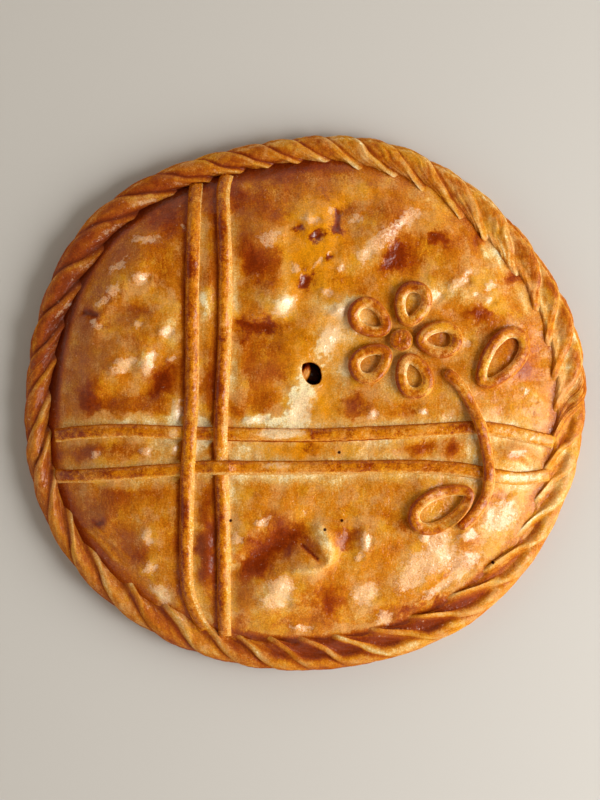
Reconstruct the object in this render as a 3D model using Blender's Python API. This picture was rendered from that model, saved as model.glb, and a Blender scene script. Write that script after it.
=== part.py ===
"""A round Galician empanada: a flat pie with a twisted rope edge, a steam vent, four laid
strips of pastry and a rolled-pastry sprig.

Units are metres, +Z is up. The pie stands on z = 0 with its centre over the origin, +X to
the right and +Y to the back, as it is seen from above. Sizes below are in millimetres.
"""

import math

import bmesh
import bpy
from mathutils import Vector

MM = 0.001

# ---- How one piece of dough lies on another
REST_GAP = 0.3  # air kept under a piece that lies on another
LID_GAP = 0.55  # the same over the lid, whose facets stand a little proud of its true form
DRAPE_RADIUS = 26.0  # dough bridges hollows that are tighter than this
LOOK_AHEAD = 0.7  # how far along a piece what it lies on is felt, in steps of its line
LOOK_ASIDE = 1.2  # and how far across it, in half widths
DRAPE_ROUNDS = 40
KNOT_PARTS = 20  # a curve between two given points is first drawn in this many parts

# ---- Outline of the pie, seen from above
MEAN_REACH = 157.4  # centre to the outside of the rope edge
REACH_WAVES = (  # count round the pie, size, turn
    (1, 1.07, 191.0), (2, 4.0, 3.0), (4, 1.3, -43.0), (5, 1.2, -1.0), (6, 0.9, 16.0),
)

# ---- Rope edge
ROPE_HALF_WIDTH = 8.8
ROPE_HALF_HEIGHT = 8.0
ROPE_LIFT = 0.5  # the round underside stays this far off the tray
TWISTS_ROUND_RIM = 41
TWIST_WAVES = ((4, 0.30, 10.0), (1, 0.50, -60.0), (3, 0.16, 40.0))  # count, turns, phase
STRANDS = 3
STRAND_OFFSET = 0.42  # share of the rope's radius from its core to a strand's core
STATIONS_PER_STRAND = 4
ROPE_SIDES = 14
ROPE_SEEN_FROM, ROPE_SEEN_TO = -45.0, 195.0  # turn round the rope's section: 0 out, 90 up

# ---- Lid
LID_EDGE_HEIGHT = 4.0  # where the lid ends, inside the rope
LID_RISE = 26.5
LID_POWER = 5.2  # higher is flatter in the middle and steeper at the edge
LID_POWER_SWING = 1.2  # steeper at the back left, gentler at the front right
LID_STEEP_SIDE = 150.0
LID_ROUND = 0.9
LID_CELLS = 44
LUMP_FADE = 0.10  # the lumps die out over this share of the radius, at the edge

# Pillows (+) and hollows (-) in the lid: x, y, long radius, short radius, turn, height
LUMPS = (
    (-92, 90, 22, 13, 20, 1.6),
    (-98, 70, 17, 11, 40, 2.6),
    (-111, 64, 10, 7, 40, 1.4),
    (-104, 50, 20, 5, 8, -1.8),
    (-119, 40, 15, 7, 68, 2.9),
    (-82, 46, 13, 9, 60, 1.9),
    (-107, 29, 14, 10, 50, 3.4),
    (-90, 27, 10, 8, 70, 2.2),
    (-120, 10, 12, 9, 90, 1.6),
    (-87, 7, 16, 9, 0, -1.6),
    (-100, -5, 18, 7, 0, 1.2),
    (-55, 60, 15, 5, 90, 1.4),
    (-24, 92, 15, 13, 70, 3.0),
    (-31, 76, 17, 8, 60, -1.6),
    (-16, 58, 14, 10, 40, 3.0),
    (-28, 43, 16, 8, 0, -2.2),
    (8, 96, 15, 14, 0, 2.2),
    (22, 104, 7, 12, 0, -1.8),
    (3, 66, 9, 7, 60, -1.9),
    (22, 52, 16, 10, 20, 2.0),
    (2, 33, 16, 12, 80, 1.6),
    (12, 16, 14, 12, 0, -1.4),
    (46, 92, 26, 9, 42, 3.4),
    (56, 80, 20, 8, 52, -2.6),
    (80, 92, 18, 12, -30, 1.5),
    (96, 62, 22, 14, -40, 1.8),
    (112, 22, 20, 15, -70, 1.6),
    (90, 40, 12, 8, 0, -0.9),
    (32, -7, 26, 6, 0, 1.0),
    (-30, -60, 20, 12, 10, 1.2),
    (-19, -81, 26, 9, 38, -4.0),
    (6, -85, 14, 12, 60, 3.4),
    (5, -83, 7, 3, -38, -2.6),
    (26, -77, 6, 9, 0, -1.8),
    (35, -79, 10, 12, 0, 1.6),
    (-20, -105, 20, 15, 30, 3.2),
    (-88, -74, 20, 15, 40, 1.8),
    (-113, -66, 9, 7, 80, 1.9),
    (-100, -86, 14, 9, 40, -1.3),
    (-56, -85, 5, 22, 0, 1.3),
    (67, -49, 8, 7, 0, 1.4),
    (66, -76, 26, 20, 40, 1.6),
    (92, -76, 7, 5, 20, 1.1),
    (112, -28, 10, 6, 0, 1.4),
    (34, -106, 14, 8, 10, -1.2),
)

# ---- Steam vent, with the filling seen at its foot
VENT_AT = (4.0, 16.0)
VENT_RADIUS = 5.9
VENT_FOOT_RADIUS = 5.0
VENT_FLOOR = 17.0
VENT_SIDES = 14
VENT_CUT_HEIGHT = 30.0
VENT_UNEVEN = 0.14  # how far the cut is from round
VENT_TURN = 1.9
FILLING_HEIGHT = 5.0
FILLING_UNEVEN = 0.12

# ---- Strips: the route of each, from above, in the order in which they are laid
STRIP_HALF_WIDTH = 4.0
STRIP_TOP_SHARE = 0.74  # the cut sides slope, so the top is narrower
STRIP_THICKNESS = 3.0
STRIP_STEP = 6.6
STRIP_CLEAR_OF_ROPE = 1.2
TRIM_STEP = 1.0  # a strip's route is trimmed at the rope to within this
STRIP_ROUTES = {
    "strip_across_back": (
        (-141.5, -18.5), (-124.5, -16.5), (-102, -15.5), (-73.5, -16.5), (-33.5, -17.5), (-3, -18),
        (20, -17.5), (43, -16.5), (65, -15.5), (88, -14), (100, -14), (114, -16),
        (122.5, -18), (140.5, -22),
    ),
    "strip_along_right": (
        (-42.5, 135), (-46, 121), (-45.5, 102), (-44.5, 79.5), (-44.5, 57.5), (-45, 29.5),
        (-46.5, 1.5), (-47, -20.5), (-46.5, -43), (-45.5, -65), (-45.5, -110), (-45.5, -134),
    ),
    "strip_across_front": (
        (-141.5, -41.5), (-124.5, -41), (-102, -39.5), (-73.5, -37.5), (-56.5, -36), (-36, -36),
        (-3, -36), (43, -35.5), (65, -35.5), (86, -37), (100.5, -39.5), (108.5, -41),
        (122, -42.5), (138.5, -40.5),
    ),
    "strip_along_left": (
        (-61.5, 129), (-62, 118.5), (-62.5, 91), (-63, 57.5), (-63, 18.5), (-63.5, -4),
        (-64.5, -23.5), (-65.5, -43), (-66, -65), (-66.5, -87.5), (-66, -104), (-62, -118),
        (-56.5, -129),
    ),
}

# ---- Rolled-pastry sprig: a flower of looped petals, its heart, a stem and two leaves
ROLL_RADIUS = 3.1
ROLL_STEP = 3.9
FLOWER_AT = (53.5, 35.0)
FLOWER_TURN = 1.0
PETALS = 5
PETAL_LENGTH, PETAL_WIDTH = 20.0, 14.5  # along the middle of the roll
PETAL_FROM_HEART = 21.0  # from the flower's middle to a petal's
HEART_RADIUS = 6.4
HEART_HEIGHT = 4.6
STEM_ROUTE = (
    (78, 18), (83, 13.5), (88, 7.5), (93, -2), (98, -14), (101.5, -28), (102.5, -41),
    (101, -52), (95, -62), (86, -70),
)
LEAF_LENGTH, LEAF_WIDTH = 34.0, 17.0
LOOP_TAPER = 0.22  # a loop is narrower towards its foot
LEAVES = {"leaf_back": ((110.0, 25.0), 52.0), "leaf_front": ((76.0, -58.5), 208.0)}  # middle, heading

DOUGH_COLOURS = {  # colour, roughness
    "crust": ((0.60, 0.27, 0.07, 1.0), 0.35),
    "strip": ((0.64, 0.31, 0.09, 1.0), 0.40),
    "roll": ((0.66, 0.32, 0.09, 1.0), 0.35),
    "filling": ((0.05, 0.02, 0.012, 1.0), 0.30),
}


# ---- Form of the pie


def rim_reach(angle):
    """Distance from the centre to the outside of the rope edge, along an angle."""
    waves = (size * math.cos(count * (angle - math.radians(turn))) for count, size, turn in REACH_WAVES)
    return MEAN_REACH + sum(waves)


def twist(angle):
    """Turns of the rope about its own core, in strands passed, up to an angle round the rim."""
    drift = sum(size * math.sin(count * angle + math.radians(phase)) for count, size, phase in TWIST_WAVES)
    return TWISTS_ROUND_RIM * angle / math.tau + drift


def twist_angle(turns):
    """The angle round the rim at which the twist reaches a number of strands."""
    per_strand = math.tau / TWISTS_ROUND_RIM
    angle = turns * per_strand
    for _ in range(12):
        angle -= (twist(angle) - turns) * per_strand
    return angle


def strand_reach(turns):
    """How far the rope's surface is from its core, as a share of its radius: round strands, with a
    crease where two meet."""
    swing = (turns % 1.0 - 0.5) * math.tau / STRANDS
    strand_radius = 1.0 - STRAND_OFFSET
    side = STRAND_OFFSET * math.sin(swing)
    return STRAND_OFFSET * math.cos(swing) + math.sqrt(strand_radius**2 - side**2)


def rope_point(angle, turn):
    """A point of the rope's surface: the angle is round the rim, and the turn round the rope's own
    section, from the outside over the top."""
    reach = strand_reach(STRANDS * turn / math.tau + twist(angle))
    out = rim_reach(angle) - ROPE_HALF_WIDTH * (1.0 - reach * math.cos(turn))
    up = ROPE_LIFT + ROPE_HALF_HEIGHT * (1.0 + reach * math.sin(turn))
    return Vector((out * math.cos(angle), out * math.sin(angle), max(up, ROPE_LIFT)))


def lump_height(x, y):
    """Sum of the lid's pillows and hollows at a place."""
    total = 0.0
    for at_x, at_y, long_radius, short_radius, turn, height in LUMPS:
        c, s = math.cos(math.radians(turn)), math.sin(math.radians(turn))
        along = ((x - at_x) * c + (y - at_y) * s) / long_radius
        across = ((y - at_y) * c - (x - at_x) * s) / short_radius
        total += height * math.exp(-(along**2) - across**2)
    return total


def lid_height(x, y):
    """Height of the lid's upper side above the tray."""
    angle = math.atan2(y, x)
    share = min(math.hypot(x, y) / (rim_reach(angle) - ROPE_HALF_WIDTH), 1.0)
    power = LID_POWER + LID_POWER_SWING * math.cos(angle - math.radians(LID_STEEP_SIDE))
    dome = LID_EDGE_HEIGHT + LID_RISE * (1.0 - share**power) ** LID_ROUND
    fade = min((1.0 - share) / LUMP_FADE, 1.0)
    return dome + lump_height(x, y) * fade


# ---- Laying a piece of dough on what is there already


class Laid:
    """A band of dough lying on the pie: its middle line, the line's sideways directions, its
    underside's height on three rails, its half width and its thickness."""

    def __init__(self, line, closed, half_width, thickness):
        self.line = line
        self.closed = closed
        self.half_width = half_width
        self.thickness = thickness
        self.step = (line[1] - line[0]).length
        self.sides = [side_direction(line, i, closed) for i in range(len(line))]
        self.rails = [settle(self, share) for share in (-1.0, 0.0, 1.0)]

    def top_at(self, x, y):
        """Height of its upper side at a place, or 0 beside it."""
        place = Vector((x, y))
        near = min(range(len(self.line)), key=lambda i: (self.line[i] - place).length_squared)
        side = self.sides[near]
        across = (place - self.line[near]).dot(side)
        along = (place - self.line[near]).dot(Vector((side.y, -side.x))) / self.step
        if abs(along) > 1.0 or abs(across) > self.half_width + 2.0 * REST_GAP:
            return 0.0
        beside = near + (1 if along > 0 else -1)
        beside = beside % len(self.line) if self.closed else min(max(beside, 0), len(self.line) - 1)
        share = abs(along)
        return max(rail[near] * (1 - share) + rail[beside] * share for rail in self.rails) + self.thickness


laid = []


def side_direction(line, i, closed):
    """The direction to the left of a line, at one of its points."""
    before = line[i - 1] if i or closed else line[i]
    after = line[(i + 1) % len(line)] if i + 1 < len(line) or closed else line[i]
    ahead = (after - before).normalized()
    return Vector((-ahead.y, ahead.x))


def settle(piece, share):
    """Heights of one rail of a piece's underside: on what is below it, and bridging what is too tight."""
    floor = []
    for place, side in zip(piece.line, piece.sides):
        ahead = Vector((side.y, -side.x)) * piece.step * LOOK_AHEAD
        out = side * piece.half_width
        rest = lid_height(*(place + out * share)) + LID_GAP
        across = [max(-LOOK_ASIDE, min(share + j / 2, LOOK_ASIDE)) for j in (-1, 0, 1)]
        for spot in (place + out * j + ahead * k for j in across for k in (-1, 0, 1)):
            rest = max([rest] + [other.top_at(*spot) + REST_GAP for other in laid])
        floor.append(rest)
    heights = list(floor)
    sag = piece.step**2 / (2.0 * DRAPE_RADIUS)
    last = len(heights) - 1
    for _ in range(DRAPE_ROUNDS):
        for i in range(0 if piece.closed else 1, last + 1 if piece.closed else last):
            bridge = (heights[i - 1] + heights[(i + 1) % len(heights)]) / 2 - sag
            heights[i] = max(floor[i], bridge)
    return heights


def smooth_line(points, step, closed=False):
    """Evenly spaced points of a Catmull-Rom curve through the given ones."""
    knots = [Vector(p) for p in points]
    count = len(knots)
    fine = []
    for i in range(count if closed else count - 1):
        p1, p2 = knots[i], knots[(i + 1) % count]
        p0 = knots[i - 1] if i or closed else p1
        p3 = knots[(i + 2) % count] if i + 2 < count or closed else p2
        for k in range(KNOT_PARTS):
            t = k / KNOT_PARTS
            fine.append(
                0.5 * (2 * p1 + (p2 - p0) * t + (2 * p0 - 5 * p1 + 4 * p2 - p3) * t**2
                       + (3 * p1 - p0 - 3 * p2 + p3) * t**3)
            )
    fine.append(knots[0] if closed else knots[-1])
    lengths = [0.0]
    for a, b in zip(fine, fine[1:]):
        lengths.append(lengths[-1] + (b - a).length)
    pieces = max(2, round(lengths[-1] / step))
    line, k = [], 0
    for i in range(pieces if closed else pieces + 1):
        goal = lengths[-1] * i / pieces
        while lengths[k + 1] < goal and k + 2 < len(lengths):
            k += 1
        share = (goal - lengths[k]) / (lengths[k + 1] - lengths[k])
        line.append(fine[k].lerp(fine[k + 1], share))
    return line


def inside_rope(place):
    """Whether a place on the lid is clear of the rope edge."""
    rope_inside = rim_reach(math.atan2(place.y, place.x)) - 2.0 * ROPE_HALF_WIDTH
    return place.length + STRIP_CLEAR_OF_ROPE < rope_inside


# ---- Blender objects


def clear_scene():
    for old in list(bpy.data.objects):
        bpy.data.objects.remove(old)


def make_collection(name):
    made = bpy.data.collections.new(name)
    bpy.context.scene.collection.children.link(made)
    return made


def dough_material(name):
    colour, roughness = DOUGH_COLOURS[name]
    made = bpy.data.materials.new(name)
    made.use_nodes = True
    shader = made.node_tree.nodes["Principled BSDF"]
    shader.inputs["Base Color"].default_value = colour
    shader.inputs["Roughness"].default_value = roughness
    shader.inputs["Metallic"].default_value = 0.0
    return made


def mesh_object(name, bm, collection, material=None):
    """Turns a bmesh in millimetres into an object in metres."""
    bmesh.ops.scale(bm, vec=(MM, MM, MM), verts=bm.verts)
    mesh = bpy.data.meshes.new(name)
    bm.to_mesh(mesh)
    bm.free()
    mesh.shade_smooth()
    made = bpy.data.objects.new(name, mesh)
    collection.objects.link(made)
    if material:
        mesh.materials.append(material)
    return made


def make_dome():
    """The lid and all under it: a square grid drawn out to the pie's outline, raised to the lid's
    height, and closed by a flat base."""
    bm = bmesh.new()
    bmesh.ops.create_grid(bm, x_segments=LID_CELLS, y_segments=LID_CELLS, size=1.0)
    for vert in bm.verts:
        x = vert.co.x * math.sqrt(1.0 - vert.co.y**2 / 2)
        y = vert.co.y * math.sqrt(1.0 - vert.co.x**2 / 2)
        reach = rim_reach(math.atan2(y, x)) - ROPE_HALF_WIDTH
        x, y = x * reach, y * reach
        vert.co = (x, y, lid_height(x, y))
    top = list(bm.faces)
    extruded = bmesh.ops.extrude_face_region(bm, geom=top, use_keep_orig=True)
    base = [item for item in extruded["geom"] if isinstance(item, bmesh.types.BMFace)]
    for vert in {vert for face in base for vert in face.verts}:
        vert.co.z = 0.0
    bmesh.ops.dissolve_faces(bm, faces=base)
    bmesh.ops.recalc_face_normals(bm, faces=bm.faces)
    return bm


def make_rope(collection):
    """The twisted edge: a torus whose rows of faces follow the strands where they are seen, and turn
    back underneath."""
    stations = TWISTS_ROUND_RIM * STATIONS_PER_STRAND
    bpy.ops.mesh.primitive_torus_add(
        major_segments=stations, minor_segments=ROPE_SIDES, major_radius=1.0, minor_radius=0.1
    )
    rope = bpy.context.object
    rope.name = "rope_edge"
    middle = math.radians(ROPE_SEEN_FROM + ROPE_SEEN_TO) / 2
    half_seen = math.radians(ROPE_SEEN_TO - ROPE_SEEN_FROM) / 2
    for vert in rope.data.vertices:
        station = round(math.atan2(vert.co.y, vert.co.x) / math.tau * stations)
        turn = math.atan2(vert.co.z, math.hypot(vert.co.x, vert.co.y) - 1.0)
        off = math.remainder(turn - middle, math.tau)
        lead = off
        if abs(off) > half_seen:
            lead = math.copysign(half_seen * (math.pi - abs(off)) / (math.pi - half_seen), off)
        row = station / STATIONS_PER_STRAND - STRANDS * (lead + middle) / math.tau
        vert.co = rope_point(twist_angle(row), turn) * MM
    hide_helper(rope, collection)
    return rope


def make_vent_cutter(collection):
    """An uneven, tapering hole from above the lid down to the vent's floor."""
    bm = bmesh.new()
    bmesh.ops.create_cone(
        bm,
        cap_ends=True,
        segments=VENT_SIDES,
        radius1=VENT_FOOT_RADIUS,
        radius2=VENT_RADIUS,
        depth=VENT_CUT_HEIGHT,
    )
    for vert in bm.verts:
        angle = math.atan2(vert.co.y, vert.co.x)
        uneven = 1.0 + VENT_UNEVEN * (math.cos(2 * angle - VENT_TURN) + math.cos(3 * angle) / 2)
        vert.co.x *= uneven
        vert.co.y *= uneven
    bmesh.ops.translate(bm, verts=bm.verts, vec=(*VENT_AT, VENT_FLOOR + VENT_CUT_HEIGHT / 2))
    cutter = mesh_object("vent_cutter", bm, collection)
    hide_helper(cutter, collection)
    return cutter


def hide_helper(helper, collection):
    """Puts a shape that only joins or cuts among the helpers."""
    for other in list(helper.users_collection):
        other.objects.unlink(helper)
    collection.objects.link(helper)
    helper.hide_render = True
    helper.display_type = "WIRE"


def make_crust(pie, helpers, material):
    """All the crust in one: the dome with its rope edge joined on and the vent cut out."""
    crust = mesh_object("crust", make_dome(), pie, material)
    for name, operation, other in (
        ("join rope", "UNION", make_rope(helpers)),
        ("cut vent", "DIFFERENCE", make_vent_cutter(helpers)),
    ):
        step = crust.modifiers.new(name, "BOOLEAN")
        step.operation = operation
        step.solver = "EXACT"
        step.object = other


def make_filling(pie, material):
    """The bit of filling that shows at the vent's foot."""
    bm = bmesh.new()
    bmesh.ops.create_uvsphere(bm, u_segments=12, v_segments=8, radius=1.0)
    radius = (VENT_FOOT_RADIUS * (1.0 - 1.5 * VENT_UNEVEN) - REST_GAP) / (1.0 + FILLING_UNEVEN)
    size = Vector((radius, radius, FILLING_HEIGHT / 2))
    for vert in bm.verts:
        lumpy = 1.0 + FILLING_UNEVEN * math.sin(4 * vert.co.x + 1.0) * math.cos(5 * vert.co.y)
        vert.co = vert.co * size * lumpy
    lowest = min(vert.co.z for vert in bm.verts)
    bmesh.ops.translate(bm, verts=bm.verts, vec=(*VENT_AT, VENT_FLOOR + REST_GAP - lowest))
    mesh_object("filling", bm, pie, material)


def make_strip(name, route, pie, material):
    """A flat strip with sloping cut sides, from one side of the rope edge to the other."""
    trimmed = [place for place in smooth_line(route, TRIM_STEP) if inside_rope(place)]
    line = smooth_line(trimmed, STRIP_STEP)
    strip = Laid(line, False, STRIP_HALF_WIDTH, STRIP_THICKNESS)
    bm = bmesh.new()
    bmesh.ops.create_grid(bm, x_segments=len(line) - 1, y_segments=2, size=1.0)
    for vert in bm.verts:
        station = round((vert.co.x + 1.0) / 2 * (len(line) - 1))
        share = round(vert.co.y)
        place = line[station] + strip.sides[station] * share * STRIP_HALF_WIDTH
        vert.co = (place.x, place.y, strip.rails[share + 1][station])
    extruded = bmesh.ops.extrude_face_region(bm, geom=list(bm.faces), use_keep_orig=True)
    for vert in (item for item in extruded["geom"] if isinstance(item, bmesh.types.BMVert)):
        place = Vector(vert.co.xy)
        station = min(range(len(line)), key=lambda i: (line[i] - place).length_squared)
        place = line[station].lerp(place, STRIP_TOP_SHARE)
        vert.co = (place.x, place.y, vert.co.z + STRIP_THICKNESS)
    bmesh.ops.recalc_face_normals(bm, faces=bm.faces)
    mesh_object(name, bm, pie, material)
    laid.append(strip)


def make_roll(name, line, closed, taper, pie, material):
    """A roll of dough laid along a line: a round tube, thinner at its ends if it is tapered."""
    roll = Laid(line, closed, ROLL_RADIUS, 2.0 * ROLL_RADIUS)
    curve = bpy.data.curves.new(name, "CURVE")
    curve.dimensions = "3D"
    curve.bevel_depth = ROLL_RADIUS * MM
    curve.bevel_resolution = 2
    curve.use_fill_caps = True
    spline = curve.splines.new("POLY")
    spline.use_cyclic_u = closed
    spline.points.add(len(line) - 1)
    for i, place in enumerate(line):
        underside = max(rail[i] for rail in roll.rails)
        spline.points[i].co = (place.x * MM, place.y * MM, (underside + ROLL_RADIUS) * MM, 1.0)
        from_end = min(i, len(line) - 1 - i) / 2
        spline.points[i].radius = min(1.0, taper + (1.0 - taper) * from_end) if taper else 1.0
    made = bpy.data.objects.new(name, curve)
    curve.materials.append(material)
    pie.objects.link(made)
    laid.append(roll)


def loop_line(middle, heading, length, width):
    """A loop's closed line, from above: an oval, narrower towards its foot."""
    c, s = math.cos(math.radians(heading)), math.sin(math.radians(heading))
    points = []
    for i in range(16):
        t = math.tau * i / 16
        along = length / 2 * math.cos(t)
        across = width / 2 * math.sin(t) * (1.0 + LOOP_TAPER * math.cos(t))
        points.append((middle[0] + along * c - across * s, middle[1] + along * s + across * c))
    return smooth_line(points, ROLL_STEP, closed=True)


def make_petals(pie, material):
    """The flower's petals, each a loop of its own."""
    for petal in range(PETALS):
        heading = FLOWER_TURN + petal * 360.0 / PETALS
        out = math.radians(heading)
        middle = Vector(FLOWER_AT) + Vector((math.cos(out), math.sin(out))) * PETAL_FROM_HEART
        line = loop_line(middle, heading, PETAL_LENGTH, PETAL_WIDTH)
        make_roll(f"petal_{petal + 1}", line, True, 0.0, pie, material)


def make_heart(pie, material):
    """The flattened ball in the middle of the flower."""
    bm = bmesh.new()
    bmesh.ops.create_uvsphere(bm, u_segments=12, v_segments=7, radius=1.0)
    bmesh.ops.scale(bm, vec=(HEART_RADIUS, HEART_RADIUS, HEART_HEIGHT / 2), verts=bm.verts)
    at_x, at_y = FLOWER_AT
    around = [(HEART_RADIUS / 2 * math.cos(k), HEART_RADIUS / 2 * math.sin(k)) for k in range(7)]
    rest = max(lid_height(at_x + dx, at_y + dy) for dx, dy in around) + REST_GAP
    bmesh.ops.translate(bm, verts=bm.verts, vec=(at_x, at_y, rest + HEART_HEIGHT / 2))
    mesh_object("flower_heart", bm, pie, material)


def main():
    clear_scene()
    pie = make_collection("empanada")
    helpers = make_collection("helpers")
    materials = {name: dough_material(name) for name in DOUGH_COLOURS}
    make_crust(pie, helpers, materials["crust"])
    make_filling(pie, materials["filling"])
    for name, route in STRIP_ROUTES.items():
        make_strip(name, route, pie, materials["strip"])
    make_petals(pie, materials["roll"])
    make_heart(pie, materials["roll"])
    make_roll("stem", smooth_line(STEM_ROUTE, ROLL_STEP), False, 0.6, pie, materials["roll"])
    for name, (middle, heading) in LEAVES.items():
        line = loop_line(middle, heading, LEAF_LENGTH, LEAF_WIDTH)
        make_roll(name, line, True, 0.0, pie, materials["roll"])


main()
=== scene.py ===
"""A round Galician empanada, dressed in its baked crust: an egg-washed lid, a twisted rope edge, a
steam vent, four laid strips of pastry and a rolled-pastry sprig.

The file is laid out as an add-on and is run as a script. Lengths in the tables below are in
millimetres, seen from above with +X to the right and +Y to the back, as in the solids.
"""

import math

import bmesh
import bpy
import numpy as np
from bpy.props import FloatProperty, FloatVectorProperty, IntProperty, PointerProperty
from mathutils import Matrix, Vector


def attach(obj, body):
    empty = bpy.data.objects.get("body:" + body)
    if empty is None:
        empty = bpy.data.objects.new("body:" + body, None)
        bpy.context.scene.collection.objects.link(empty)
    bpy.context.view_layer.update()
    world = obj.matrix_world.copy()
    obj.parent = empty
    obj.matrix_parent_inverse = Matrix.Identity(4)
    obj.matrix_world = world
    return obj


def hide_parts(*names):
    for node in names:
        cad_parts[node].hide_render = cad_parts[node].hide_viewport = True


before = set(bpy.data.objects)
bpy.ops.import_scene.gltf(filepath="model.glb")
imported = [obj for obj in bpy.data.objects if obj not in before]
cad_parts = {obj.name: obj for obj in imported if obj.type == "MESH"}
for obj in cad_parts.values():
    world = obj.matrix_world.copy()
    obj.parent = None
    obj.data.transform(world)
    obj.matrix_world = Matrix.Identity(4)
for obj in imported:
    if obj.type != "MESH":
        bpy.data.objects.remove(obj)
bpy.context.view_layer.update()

bl_info = {
    "name": "Galician empanada",
    "version": (1, 0, 0),
    "blender": (4, 5, 0),
    "location": "View3D > Sidebar > Empanada",
    "description": "Builds a baked empanada around its packed solids",
    "category": "Object",
}

MM = 0.001
FAR_AWAY, FAR_BELOW = 1000.0, -99.0  # more than any distance, and less than any height, in mm
WAVE_CELLS = 97  # cells after which the random waves repeat

# ---- Outline of the pie and twist of its rope edge, as in the solids
MEAN_REACH = 157.4
REACH_WAVES = (  # count round the pie, size, turn
    (1, 1.07, 191.0), (2, 4.0, 3.0), (4, 1.3, -43.0), (5, 1.2, -1.0), (6, 0.9, 16.0),
)
ROPE_HALF_WIDTH = 8.8
ROPE_HALF_HEIGHT = 8.0
ROPE_LIFT = 0.5
TWISTS_ROUND_RIM = 41  # strands passed on the way round
TWIST_WAVES = ((4, 0.30, 10.0), (1, 0.50, -60.0), (3, 0.16, 40.0))  # count, turns, phase
STRANDS = 3
STRAND_OFFSET = 0.42
ROPE_SEEN_FROM, ROPE_SEEN_TO = -45.0, 195.0  # round its section, from outside and up

# ---- Lid, as in the solids
LID_EDGE_HEIGHT = 4.0
LID_RISE = 26.5
LID_POWER = 5.2
LID_POWER_SWING = 1.2
LID_STEEP_SIDE = 150.0
LID_ROUND = 0.9
LUMP_FADE = 0.10
FILLED_EDGE, FILLED_SIDE = 8.0, -30.0  # how far, and where, the dough fills up to the rope

# Pillows (+) and hollows (-) in the lid: x, y, long radius, short radius, turn, height
LUMPS = (
    (-92, 90, 22, 13, 20, 1.6), (-98, 70, 17, 11, 40, 2.6), (-111, 64, 10, 7, 40, 1.4),
    (-104, 50, 20, 5, 8, -1.8), (-119, 40, 15, 7, 68, 2.9), (-82, 46, 13, 9, 60, 1.9),
    (-107, 29, 14, 10, 50, 3.4), (-90, 27, 10, 8, 70, 2.2), (-120, 10, 12, 9, 90, 1.6),
    (-87, 7, 16, 9, 0, -1.6), (-100, -5, 18, 7, 0, 1.2), (-55, 60, 15, 5, 90, 1.4),
    (-24, 92, 15, 13, 70, 3.0), (-31, 76, 17, 8, 60, -1.6), (-16, 58, 14, 10, 40, 3.0),
    (-28, 43, 16, 8, 0, -2.2), (8, 96, 15, 14, 0, 2.2), (22, 104, 7, 12, 0, -1.8),
    (3, 66, 9, 7, 60, -1.2), (22, 52, 16, 10, 20, 2.0), (2, 33, 16, 12, 80, 1.6),
    (12, 16, 14, 12, 0, -1.4), (41, 97, 26, 9, 42, 2.5), (61, 76, 14, 8, 52, -1.0),
    (80, 92, 18, 12, -30, 1.5), (96, 62, 22, 14, -40, 1.8), (112, 22, 20, 15, -70, 1.6),
    (90, 40, 12, 8, 0, -0.9), (32, -7, 26, 6, 0, 1.0), (-30, -60, 20, 12, 10, 1.2),
    (-16, -81, 25, 9, 38, -4.0), (6, -85, 12, 10, 60, 3.0), (5, -83, 7, 3, -38, -2.6),
    (26, -77, 6, 9, 0, -1.2), (35, -79, 10, 12, 0, 1.6), (-20, -105, 20, 15, 30, 3.2),
    (-88, -74, 20, 15, 40, 1.8), (-113, -66, 9, 7, 80, 1.9), (-100, -86, 14, 9, 40, -1.3),
    (-56, -85, 5, 22, 0, 1.3), (67, -49, 8, 7, 0, 1.4), (66, -76, 26, 20, 40, 1.6),
    (92, -76, 7, 5, 20, 1.1), (112, -28, 10, 6, 0, 1.4), (34, -106, 14, 8, 10, -1.2),
)

# Finer relief that only the dressed crust has: small pits, blisters, ridges and dents
FINE_RELIEF = (
    (7, 93, 3.6, 2.8, 20, -2.0), (14, 82, 1.6, 1.4, 0, -1.1), (-3, 98.5, 1.6, 1.4, 0, -0.9),
    (19, 106, 2.2, 2.0, 0, -1.0), (0.5, 68, 4.5, 3.0, 30, -0.7), (-4, 73, 2.2, 4.5, 20, 0.8),
    (20.5, 88, 1.6, 17, 0, 0.3), (16.5, 100, 3.0, 8, 0, -0.2), (26, 118, 7, 5, 0, 0.8),
    (-12, 56, 6, 5, 40, 0.8), (22, 54, 8, 4, 20, 0.6), (14, 36, 5, 8, -20, 0.7),
    (10, -81, 3.0, 9, 14, 1.6), (2, -92.5, 9, 1.8, 4, 1.0), (25, -77, 3.5, 6, 10, -0.5),
    (33, -77, 2.6, 8, 8, 0.9), (-104, 64, 4, 3, 30, 0.8), (-92, 71, 5, 3.5, 30, 0.9),
    (-116, 46, 5, 3.5, 60, 1.0), (-78, 42, 5, 4, 40, 0.9), (-100, 21, 8, 5, 40, 0.9),
    (-89, 21, 5, 6, 10, 0.8), (-84, 11, 9, 5, 60, -0.9), (-122, 50, 6, 2.0, 10, -1.2),
    (-117, -27, 5, 4, 20, 0.8), (-88, -27, 4, 3, 30, 0.6), (-116, -67, 3.4, 2.6, 0, -1.6),
    (-89, -74, 5, 4, 0, 0.7), (-88, -90, 4, 5, 0, 0.6), (66, -50, 3, 2.4, 0, 0.9),
    (66, -74.5, 3.2, 3.0, 0, 1.3), (92, -75, 5.5, 3.5, 15, 1.1), (96, -70, 3, 2, 0, 0.6),
    (126, 6, 6, 4, -60, 0.7), (118, -28, 7, 4, 10, 0.8), (88, 66, 6, 4, 10, 0.5),
    (104, 67, 4, 3, 0, 0.6), (70, 60, 8, 5, -20, 0.5), (-28, -67, 4, 3, 40, 0.6),
    (-20, 92, 5, 6, 20, 0.8), (-56, 58, 3.5, 8, 0, 0.5), (-34, 20, 12, 10, 30, 0.7),
)

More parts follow.
